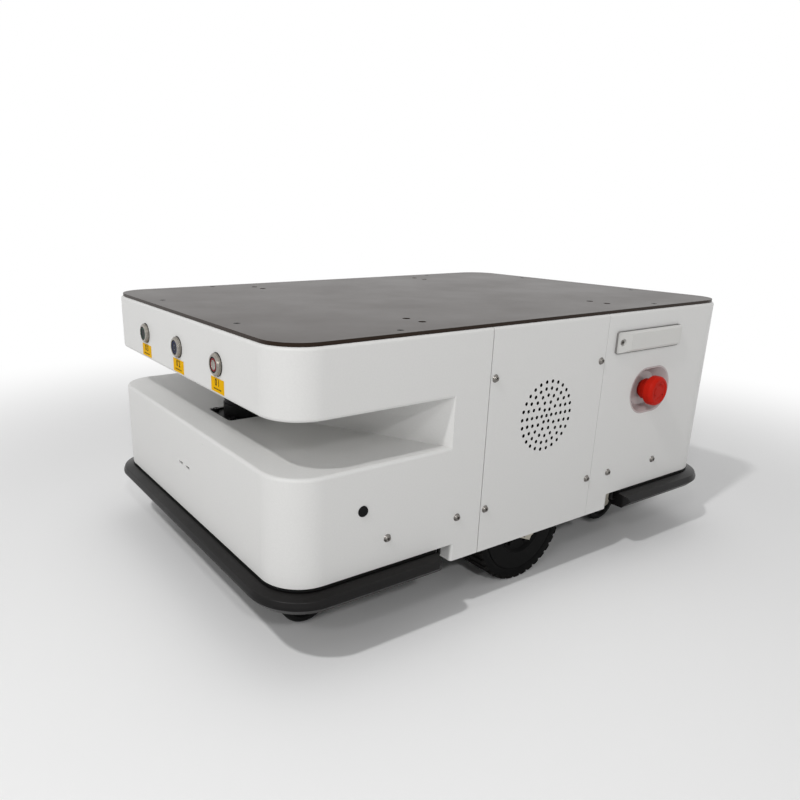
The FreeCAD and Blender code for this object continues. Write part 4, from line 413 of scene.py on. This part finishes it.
# %% Dark sound holes in the side panel
def darken_behind(material, centre, radius, face_height):
    tree = material.node_tree
    shader = tree.nodes["Principled BSDF"]
    paint = shader.inputs["Base Color"].links[0].from_socket
    place = add_node(tree, "ShaderNodeTexCoord")
    axes = add_node(tree, "ShaderNodeSeparateXYZ")
    below = add_node(tree, "ShaderNodeMath")
    below.operation = "LESS_THAN"
    below.inputs[1].default_value = face_height
    middle = add_node(tree, "ShaderNodeMapping")
    middle.inputs["Location"].default_value = (-centre[0], 0, -centre[1])
    middle.inputs["Scale"].default_value = (1, 0, 1)
    reach = add_node(tree, "ShaderNodeVectorMath")
    reach.operation = "LENGTH"
    near = add_node(tree, "ShaderNodeMath")
    near.operation = "LESS_THAN"
    near.inputs[1].default_value = radius
    both = add_node(tree, "ShaderNodeMath")
    both.operation = "MULTIPLY"
    shade = add_node(tree, "ShaderNodeMix")
    shade.data_type = "RGBA"
    shade.inputs["B"].default_value = (0.004, 0.004, 0.004, 1.0)
    join(tree, place.outputs["Object"], axes.inputs["Vector"])
    join(tree, axes.outputs["Y"], below.inputs[0])
    join(tree, place.outputs["Object"], middle.inputs["Vector"])
    join(tree, middle.outputs["Vector"], reach.inputs[0])
    join(tree, reach.outputs["Value"], near.inputs[0])
    join(tree, below.outputs[0], both.inputs[0])
    join(tree, near.outputs[0], both.inputs[1])
    join(tree, both.outputs[0], shade.inputs["Factor"])
    join(tree, paint, shade.inputs["A"])
    join(tree, shade.outputs["Result"], shader.inputs["Base Color"])


speaker_low, speaker_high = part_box("speaker")
panel_white = finishes["white_coated_steel"].copy()
panel_white.name = "white_panel_coat"
darken_behind(
    panel_white, ((speaker_low.x + speaker_high.x) / 2, (speaker_low.z + speaker_high.z) / 2),
    0.052, 0.2498)
print("panel paint made")

# %% [markdown]
# Every node of the frame names its material slot in the record, so one loop dresses them all.

# %% Dress the frame
slots = {part["node"]: part["material_slot"] for part in frame["record"]["subparts"]}
for name, thing in nodes.items():
    thing.data.materials.clear()
    thing.data.materials.append(finishes[slots[name]])
nodes["lidar_window"].data.materials[0] = window_black
nodes["side_panel_left"].data.materials[0] = panel_white
nodes["estop_body"].data.materials[0] = shaft_black_and_shaded_red
print("dressed", len(nodes), "nodes")

# %% [markdown]
# The small pieces are modelled as by hand: a primitive is added where it belongs, its faces are
# chosen by where they are or which way they face, and inset, extrude and bevel do the rest. These
# helpers start a piece, choose its faces, and close it off with its finish on the right body.

# %% Helpers for the small pieces
def start_clean():
    if bpy.context.mode != "OBJECT":
        bpy.ops.object.mode_set(mode="OBJECT")
    bpy.ops.object.select_all(action="DESELECT")


def keep_place(stretch=(1, 1, 1)):
    """The object just added gets its place, turn and stretch in its mesh."""
    thing = bpy.context.object
    thing.scale = stretch
    bpy.ops.object.transform_apply(location=True, rotation=True, scale=True)
    return thing


def choose_faces(thing, test):
    """Edit mode with just the faces whose centre and normal pass the test."""
    if bpy.context.mode != "OBJECT":
        bpy.ops.object.mode_set(mode="OBJECT")
    mesh = thing.data
    for elements in (mesh.vertices, mesh.edges, mesh.polygons):
        elements.foreach_set("select", [False] * len(elements))
    chosen = [face for face in mesh.polygons if test(face.center, face.normal)]
    for face in chosen:
        face.select = True
    bpy.ops.object.mode_set(mode="EDIT")
    bpy.ops.mesh.select_mode(type="FACE")
    return len(chosen)


def choose_long_edges(thing, axis, reach):
    """Edit mode with just the edges that run further than reach along an axis."""
    if bpy.context.mode != "OBJECT":
        bpy.ops.object.mode_set(mode="OBJECT")
    bpy.ops.object.mode_set(mode="EDIT")
    bpy.ops.mesh.select_mode(type="EDGE")
    bpy.ops.mesh.select_all(action="DESELECT")
    bpy.ops.object.mode_set(mode="OBJECT")
    for edge in thing.data.edges:
        start, end = (thing.data.vertices[i].co for i in edge.vertices)
        edge.select = abs(start[axis] - end[axis]) > reach
    bpy.ops.object.mode_set(mode="EDIT")


def soften_edges(thing, width, segments=2):
    start_clean()
    bpy.context.view_layer.objects.active = thing
    thing.select_set(True)
    bpy.ops.object.modifier_add(type="BEVEL")
    soft = thing.modifiers[-1]
    soft.width = width
    soft.segments = segments
    soft.limit_method = "ANGLE"
    bpy.ops.object.modifier_apply(modifier=soft.name)


def shape_only(thing, name, material):
    start_clean()
    bpy.context.view_layer.objects.active = thing
    thing.select_set(True)
    bpy.ops.object.mode_set(mode="EDIT")
    bpy.ops.mesh.select_all(action="SELECT")
    bpy.ops.mesh.normals_make_consistent(inside=False)
    bpy.ops.object.mode_set(mode="OBJECT")
    bpy.ops.object.shade_smooth_by_angle(angle=math.radians(35))
    thing.name = name
    thing.data.name = name
    thing.data.materials.clear()
    thing.data.materials.append(material)


def close_piece(thing, name, body, material):
    shape_only(thing, name, material)
    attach(thing, body)
    return thing


def merge_pieces(first, others):
    start_clean()
    for other in others:
        other.select_set(True)
    first.select_set(True)
    bpy.context.view_layer.objects.active = first
    bpy.ops.object.join()
    return first


turned_to = {"x": (0, math.pi / 2, 0), "y": (-math.pi / 2, 0, 0), "z": (0, 0, 0)}
outward = {"x": Vector((1, 0, 0)), "y": Vector((0, 1, 0)), "z": Vector((0, 0, 1))}


def raise_disc(centre, radius, depth, axis, corners=48):
    """A disc that stands out by depth along an axis, with a flat foot."""
    start_clean()
    bpy.ops.mesh.primitive_circle_add(
        vertices=corners, radius=radius, fill_type="NGON", location=centre, rotation=turned_to[axis])
    disc = keep_place()
    choose_faces(disc, lambda middle, normal: True)
    bpy.ops.mesh.extrude_region_move(TRANSFORM_OT_translate={"value": outward[axis] * depth})
    bpy.ops.object.mode_set(mode="OBJECT")
    return disc


def raise_ring(centre, inner, outer, depth, axis, corners=48, keep=None):
    """A flat ring that stands out by depth along an axis; keep can leave gaps in it by angle."""
    start_clean()
    bpy.ops.mesh.primitive_circle_add(
        vertices=corners, radius=outer, fill_type="NGON", location=centre, rotation=turned_to[axis])
    ring = keep_place()
    choose_faces(ring, lambda middle, normal: True)
    bpy.ops.mesh.inset(thickness=outer - inner)
    bpy.ops.mesh.delete(type="FACE")
    if keep:
        choose_faces(ring, lambda middle, normal: not keep(middle - Vector(centre)))
        bpy.ops.mesh.delete(type="FACE")
    choose_faces(ring, lambda middle, normal: True)
    bpy.ops.mesh.extrude_region_move(TRANSFORM_OT_translate={"value": outward[axis] * depth})
    bpy.ops.object.mode_set(mode="OBJECT")
    return ring


print("helpers ready")

# %% [markdown]
# Each push button has a tinted ring round its lens. The left one has a steel face inside a red ring,
# the centre one shows the plain sign for switching on inside a blue ring, and the right one is dark
# with a green ring. The rings ride on the caps, so they go in with them.

# %% Rings and faces of the push buttons
button_height = 0.3055
cover_front = 0.36495
sink = 0.0002
cap_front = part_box("button_cap_left")[1].x
button_sides = {"left": 0.112, "centre": 0.0, "right": -0.112}
ring_finish = {"left": guide_red, "centre": guide_blue, "right": guide_green}
for side, across in button_sides.items():
    ring = raise_ring((cap_front - sink, across, button_height), 0.0058, 0.0070, 0.0004, "x")
    close_piece(ring, "button_ring_" + side, "button_" + side, ring_finish[side])

# A thin black ring round each bezel paints the shadow gap between the bezel and the cover.
bezel_shadow_rings = []
for across in button_sides.values():
    bezel_shadow_rings.append(raise_ring((cover_front, across, button_height), 0.0120, 0.0131, 0.0005, "x"))
close_piece(merge_pieces(bezel_shadow_rings[0], bezel_shadow_rings[1:]), "button_bezel_shadow_rings", "chassis", finishes["black_plastic"])

face = raise_disc((cap_front - sink, button_sides["left"], button_height), 0.0054, 0.0005, "x")
choose_faces(face, lambda middle, normal: normal.x > 0.9)
bpy.ops.mesh.inset(thickness=0.0006)
bpy.ops.mesh.extrude_region_move(TRANSFORM_OT_translate={"value": (-0.0002, 0, 0)})
soften_edges(face, 0.0001)
close_piece(face, "button_face_left", "button_left", finishes["chrome_bezel"])

sign_start = (cap_front - sink, button_sides["centre"], button_height)
arc = raise_ring(sign_start, 0.0026, 0.0034, 0.0004, "x", 36, lambda way: abs(way.y) > 0.0012 or way.z < 0)
start_clean()
bpy.ops.mesh.primitive_plane_add(
    size=1, location=(cap_front - sink, 0, button_height + 0.0028), rotation=turned_to["x"])
bar = keep_place((0.0034, 0.0008, 1))
choose_faces(bar, lambda middle, normal: True)
bpy.ops.mesh.extrude_region_move(TRANSFORM_OT_translate={"value": (0.0004, 0, 0)})
sign = merge_pieces(arc, [bar])
close_piece(sign, "button_sign_centre", "button_centre", mark_grey)
print("button rings, face and sign made")

# %% [markdown]
# Under each button is a yellow label. The real ones carry words; these carry a plain number and a
# row of short strokes, which names nothing. The number is text with a little thickness, made into a
# mesh and set down on the label.

# %% Marks on the labels
label_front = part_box("button_labels")[1].x
label_middle = 0.2826
number_height = 0.0078
stroke_count = 5
stroke_pitch = 0.0040


def print_number(text, across):
    start_clean()
    bpy.ops.object.text_add(location=(0, 0, 0))
    number = bpy.context.object
    number.data.body = text
    number.data.size = number_height * 1.35
    number.data.align_x = "CENTER"
    number.data.space_character = 1.35
    number.data.offset = 0.00022
    number.data.extrude = 0.00006
    number.data.resolution_u = 3
    bpy.ops.object.convert(target="MESH")
    number = bpy.context.object
    number.rotation_euler = (math.pi / 2, 0, math.pi / 2)
    number.location = (label_front, across, label_middle - 0.0006)
    return keep_place()


def print_stroke(across, down):
    start_clean()
    bpy.ops.mesh.primitive_plane_add(
        size=1, location=(label_front - 0.00002, across, down), rotation=turned_to["x"])
    stroke = keep_place((0.0015, 0.0028, 1))
    choose_faces(stroke, lambda middle, normal: True)
    bpy.ops.mesh.extrude_region_move(TRANSFORM_OT_translate={"value": (0.00008, 0, 0)})
    bpy.ops.object.mode_set(mode="OBJECT")
    return stroke


for number, (side, across) in enumerate(button_sides.items(), start=1):
    text = print_number("0" + str(number), across)
    strokes = []
    for place_in_row in range(stroke_count):
        shift = (place_in_row - (stroke_count - 1) / 2) * stroke_pitch
        strokes.append(print_stroke(across + shift, label_middle - 0.0042))
    close_piece(merge_pieces(text, strokes), "label_print_" + side, "chassis", print_black)
print("label marks made")

# %% [markdown]
# A stop button that has been pushed is let go by a twist, and raised arrows on its face say which
# way. Three arcs are left of one ring, and each gets a small triangle at its end.

# %% Arrows on the stop button
stop_centre = Vector((-0.206, 0, 0.234))
stop_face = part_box("estop_head")[1].y - 0.0010
arrow_inner = 0.0088
arrow_outer = 0.0104
arrow_middle = (arrow_inner + arrow_outer) / 2
arrow_sweep = math.radians(70)
arrow_angles = [math.radians(90), math.radians(210), math.radians(330)]


def in_an_arc(way):
    angle = math.atan2(way.z, way.x) % math.tau
    return any((angle - start) % math.tau < arrow_sweep for start in arrow_angles)


arrows = raise_ring(
    (stop_centre.x, stop_face, stop_centre.z), arrow_inner, arrow_outer, 0.0006, "y", 72, in_an_arc)
tips = []
for start in arrow_angles:
    tip_x = stop_centre.x + arrow_middle * math.cos(start)
    tip_z = stop_centre.z + arrow_middle * math.sin(start)
    start_clean()
    bpy.ops.mesh.primitive_circle_add(
        vertices=3, radius=0.0026, fill_type="NGON", location=(tip_x, stop_face, tip_z),
        rotation=(-math.pi / 2, -start + math.pi / 2, 0))
    tip = keep_place()
    choose_faces(tip, lambda middle, normal: True)
    bpy.ops.mesh.extrude_region_move(TRANSFORM_OT_translate={"value": (0, 0.0006, 0)})
    bpy.ops.object.mode_set(mode="OBJECT")
    tips.append(tip)
close_piece(merge_pieces(arrows, tips), "stop_arrows", "stop_head", finishes["red_plastic"])
print("stop arrows made")

# %% [markdown]
# The shadow gap round the antenna cover is painted as a grey sheet, which shows as a fine line round
# it. It is a sheet a little larger than the cover, bevelled on all its edges. The bevel is wider than
# the sheet is thick, so the rim folds over itself and stands out further than the sheet does.

# %% The painted shadow gap round the antenna cover
lip = 0.0006
gap_shade_depth = 0.0005
gap_shade_middle = 0.25015
gap_shade_corner = 0.003
low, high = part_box("antenna_cover")
start_clean()
bpy.ops.mesh.primitive_cube_add(
    size=1, location=((low.x + high.x) / 2, gap_shade_middle, (low.z + high.z) / 2))
gap_shade = keep_place((high.x - low.x + 2 * lip, gap_shade_depth, high.z - low.z + 2 * lip))
bpy.ops.object.mode_set(mode="EDIT")
bpy.ops.mesh.select_mode(type="EDGE")
bpy.ops.mesh.select_all(action="SELECT")
bpy.ops.mesh.bevel(offset=gap_shade_corner, segments=4)
close_piece(gap_shade, "antenna_gap_shade", "chassis", gap_shade_grey)
print("antenna gasket made")

# %% [markdown]
# The scanner stands on a moulded foot that fills the pit in the slot floor nearly level, held by
# screws through bosses at its two front corners. The foot is a box with its upright edges rounded and
# a step round its top. Each boss is a short post with a round recess, and so is each screw's head.

# %% The scanner's foot
foot_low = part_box("lidar_mount")[1].z
foot_top = 0.2138
foot_back, foot_front = 0.2445, 0.3153
foot_half = 0.0313
foot_corner = 0.005
foot_middle = (foot_back + foot_front) / 2
start_clean()
bpy.ops.mesh.primitive_cube_add(
    size=1, location=(foot_middle, 0, (foot_low + foot_top) / 2))
foot = keep_place((foot_front - foot_back, 2 * foot_half, foot_top - foot_low))
choose_long_edges(foot, 2, 0.001)
bpy.ops.mesh.bevel(offset=foot_corner, segments=5)
choose_faces(foot, lambda middle, normal: normal.z > 0.9)
bpy.ops.mesh.inset(thickness=0.0022)
bpy.ops.mesh.extrude_region_move(TRANSFORM_OT_translate={"value": (0, 0, -0.0016)})
soften_edges(foot, 0.0004)
close_piece(foot, "scanner_foot", "chassis", finishes["black_plastic"])

# %% Bosses and screws of the scanner's foot
def make_boss(x, y):
    post = raise_disc((x, y, foot_top - 0.0018), 0.0042, 0.0042, "z", 24)
    choose_faces(post, lambda middle, normal: normal.z > 0.9)
    bpy.ops.mesh.inset(thickness=0.0012)
    bpy.ops.mesh.extrude_region_move(TRANSFORM_OT_translate={"value": (0, 0, -0.0012)})
    bpy.ops.object.mode_set(mode="OBJECT")
    return post


def make_socket_screw(x, y):
    head = raise_disc((x, y, foot_top - 0.0010), 0.0026, 0.0030, "z", 24)
    choose_faces(head, lambda middle, normal: normal.z > 0.9)
    bpy.ops.mesh.inset(thickness=0.0012)
    bpy.ops.mesh.extrude_region_move(TRANSFORM_OT_translate={"value": (0, 0, -0.0014)})
    bpy.ops.object.mode_set(mode="OBJECT")
    return head


boss_places = [(foot_front - 0.007, 0.0245), (foot_front - 0.007, -0.0245)]
bosses = [make_boss(x, y) for x, y in boss_places]
boss = merge_pieces(bosses[0], bosses[1:])
soften_edges(boss, 0.0003)
close_piece(boss, "scanner_bosses", "chassis", finishes["black_plastic"])
heads = [make_socket_screw(x, y) for x, y in boss_places]
close_piece(merge_pieces(heads[0], heads[1:]), "scanner_screws", "chassis", finishes["stainless"])
print("scanner foot made")

# %% [markdown]
# The drive tyres are solid rubber with a lugged tread, whose blocks give the tyre its scalloped
# edge. The frame's tyre has many small blocks with square-cut sides. Each is replaced by one with fewer,
# larger blocks whose edges are bevelled. A cylinder
# gets a bore by an inset of both ends and a bridge between them, and its shoulders are rounded. The
# blocks are set round it in two staggered rows and bevelled together.

# %% The tyre's body
tyre_radius = 0.0748
tread_root = 0.0726
bore_radius = 0.0601
lug_count = 36


def make_tyre_body(centre, width):
    start_clean()
    bpy.ops.mesh.primitive_cylinder_add(
        vertices=90, radius=tread_root, depth=width, location=centre, rotation=turned_to["y"])
    body = keep_place()
    for way in (-1, 1):
        choose_faces(body, lambda middle, normal: normal.y * way > 0.9)
        bpy.ops.mesh.inset(thickness=tread_root - bore_radius)
        bpy.ops.object.mode_set(mode="OBJECT")
    choose_faces(
        body, lambda middle, normal: abs(normal.y) > 0.9 and (middle - Vector(centre)).xz.length < 0.01)
    bpy.ops.mesh.bridge_edge_loops()
    bpy.ops.object.mode_set(mode="OBJECT")
    soften_edges(body, 0.0022, 3)
    return body


# %% The lugs and the finished tyres
def make_lug(centre, low, high, angle):
    start_clean()
    middle = Vector((centre[0], (low + high) / 2, centre[2]))
    out = Vector((math.sin(angle), 0, math.cos(angle)))
    reach = (tyre_radius + tread_root - 0.002) / 2
    bpy.ops.mesh.primitive_cube_add(
        size=1, location=middle + out * reach, rotation=(0, angle, 0))
    return keep_place((0.0102, high - low, tyre_radius - tread_root + 0.002))


for side in ("left", "right"):
    low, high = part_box("tyre_" + side)
    centre = ((low.x + high.x) / 2, (low.y + high.y) / 2, (low.z + high.z) / 2)
    half = (high.y - low.y) / 2
    lugs = []
    for step in range(lug_count):
        angle = math.tau * step / lug_count
        shift = math.tau / lug_count / 2
        lugs.append(make_lug(centre, centre[1] + 0.001, high.y - 0.0002, angle))
        lugs.append(make_lug(centre, low.y + 0.0002, centre[1] - 0.001, angle + shift))
    tread = merge_pieces(lugs[0], lugs[1:])
    soften_edges(tread, 0.0014, 1)
    tyre = merge_pieces(make_tyre_body(centre, 2 * half - 0.0008), [tread])
    close_piece(tyre, "lugged_tyre_" + side, "wheel_" + side, finishes["tyre_rubber"])
    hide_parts("tyre_" + side)
    print(tyre.name, len(tyre.data.polygons), "faces")

# %% [markdown]
# The springs stand between the swinging arms and the brackets on the chassis, so their feet move and
# their heads don't. Each is a wire's round section carried up a screw and closed at both ends, in place
# of the frame's spring.

# %% Coil springs
spring_turns = 5
wire_radius = 0.0022
for side in ("left", "right"):
    low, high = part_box("suspension_spring_" + side)
    coil_radius = (high.x - low.x) / 2 - wire_radius
    pitch = (high.z - low.z - 2 * wire_radius) / spring_turns
    start_clean()
    bpy.ops.mesh.primitive_circle_add(
        vertices=14, radius=wire_radius, fill_type="NGON", location=(coil_radius, 0, wire_radius),
        rotation=(math.pi / 2, 0, 0))
    coil = keep_place()
    bpy.ops.object.modifier_add(type="SCREW")
    winding = coil.modifiers[-1]
    winding.axis = "Z"
    winding.angle = math.tau
    winding.iterations = spring_turns
    winding.screw_offset = pitch
    winding.steps = 40
    winding.render_steps = 40
    bpy.ops.object.modifier_apply(modifier=winding.name)
    coil.location = ((low.x + high.x) / 2, (low.y + high.y) / 2, low.z)
    keep_place()
    bpy.ops.object.mode_set(mode="EDIT")
    bpy.ops.mesh.select_all(action="DESELECT")
    bpy.ops.mesh.select_mode(type="EDGE")
    bpy.ops.mesh.select_non_manifold()
    bpy.ops.mesh.edge_face_add()
    bpy.ops.object.mode_set(mode="OBJECT")
    shape_only(coil, "coil_spring_" + side, finishes["zinc_plated"])
    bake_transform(coil)
    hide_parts("suspension_spring_" + side)
    print(coil.name, len(coil.data.polygons), "faces")

# %% [markdown]
# Each caster wheel has a pale bearing cap on both sides, a flat ring round the end of its axle.

# %% Bearing caps on the caster wheels
cap_radius = 0.0105
for corner in ("front_left", "front_right", "rear_left", "rear_right"):
    low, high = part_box("caster_wheel_" + corner)
    centre_x, centre_z = (low.x + high.x) / 2, (low.z + high.z) / 2
    caps = []
    for across, way in ((low.y, -1), (high.y, 1)):
        caps.append(raise_ring(
            (centre_x, across - way * sink, centre_z), 0.0058, cap_radius, 0.0005 * way, "y", 40))
    close_piece(
        merge_pieces(caps[0], caps[1:]), "caster_cap_" + corner, "caster_roller_" + corner,
        finishes["zinc_plated"])
print("caster caps made")

# %% [markdown]
# The studio is a pale floor that fades to white, a white sky, four small lamps in front and one large
# soft one behind. The sky lights the covers evenly, so that their corners show no bright streak. The
# lamps add to it, make the front a little lighter than the side, and shade the slot in steps.

# %% Stage and light
def make_stage():
    start_clean()
    bpy.ops.mesh.primitive_circle_add(vertices=96, radius=9.0, fill_type="NGON", location=(0, 0, 0))
    floor = bpy.context.object
    floor.name = "floor"
    material, tree, shader = start_material("floor_paper", (0.90, 0.90, 0.90), 0.85)
    shader.inputs["Specular IOR Level"].default_value = 0.1
    place = add_node(tree, "ShaderNodeTexCoord")
    reach = add_node(tree, "ShaderNodeVectorMath")
    reach.operation = "LENGTH"
    fade = add_node(tree, "ShaderNodeMapRange", From_Min=0.6, From_Max=1.5)
    fade.interpolation_type = "SMOOTHSTEP"
    white = add_node(tree, "ShaderNodeEmission", Strength=1.0)
    mix = add_node(tree, "ShaderNodeMixShader")
    join(tree, place.outputs["Object"], reach.inputs[0])
    join(tree, reach.outputs["Value"], fade.inputs["Value"])
    join(tree, fade.outputs["Result"], mix.inputs["Fac"])
    join(tree, shader.outputs["BSDF"], mix.inputs[1])
    join(tree, white.outputs["Emission"], mix.inputs[2])
    join(tree, mix.outputs["Shader"], tree.nodes["Material Output"].inputs["Surface"])
    floor.data.materials.append(material)
    return floor


def make_lamp(name, place, aim, size, power):
    data = bpy.data.lights.new(name, "AREA")
    data.shape = "DISK"
    data.size = size
    data.energy = power
    lamp = bpy.data.objects.new(name, data)
    lamp.location = place
    lamp.rotation_euler = (Vector(aim) - Vector(place)).to_track_quat("-Z", "Y").to_euler()
    bpy.context.scene.collection.objects.link(lamp)
    return lamp


def make_sky(strength):
    world = bpy.data.worlds.new("studio")
    bpy.context.scene.world = world
    world.use_nodes = True
    tree = world.node_tree
    sky = tree.nodes["Background"]
    sky.inputs["Color"].default_value = (1.0, 1.0, 1.0, 1.0)
    path = add_node(tree, "ShaderNodeLightPath")
    seen = add_node(tree, "ShaderNodeMath")
    seen.operation = "ADD"
    also = add_node(tree, "ShaderNodeMath")
    also.operation = "ADD"
    also.use_clamp = True
    level = add_node(tree, "ShaderNodeMapRange", To_Min=strength, To_Max=1.0)
    join(tree, path.outputs["Is Camera Ray"], seen.inputs[0])
    join(tree, path.outputs["Is Glossy Ray"], seen.inputs[1])
    join(tree, seen.outputs[0], also.inputs[0])
    join(tree, path.outputs["Is Transmission Ray"], also.inputs[1])
    join(tree, also.outputs[0], level.inputs["Value"])
    join(tree, level.outputs["Result"], sky.inputs["Strength"])


make_stage()
make_sky(0.40)
make_lamp("key", (2.3, 0.9, 1.0), (0.2, 0, 0.2), 0.3, 2)
make_lamp("ceiling", (1.7, 0.6, 2.3), (0.2, 0.1, 0.2), 0.14, 23.5)
make_lamp("second", (1.0, 2.0, 1.5), (0.2, 0.1, 0.2), 0.14, 8.5)
make_lamp("third", (2.2, 1.5, 1.8), (0.2, 0.1, 0.2), 0.14, 5)
make_lamp("back", (-0.6, -0.4, 2.6), (0, 0, 0.3), 2.2, 6)
print("stage and lamps ready")
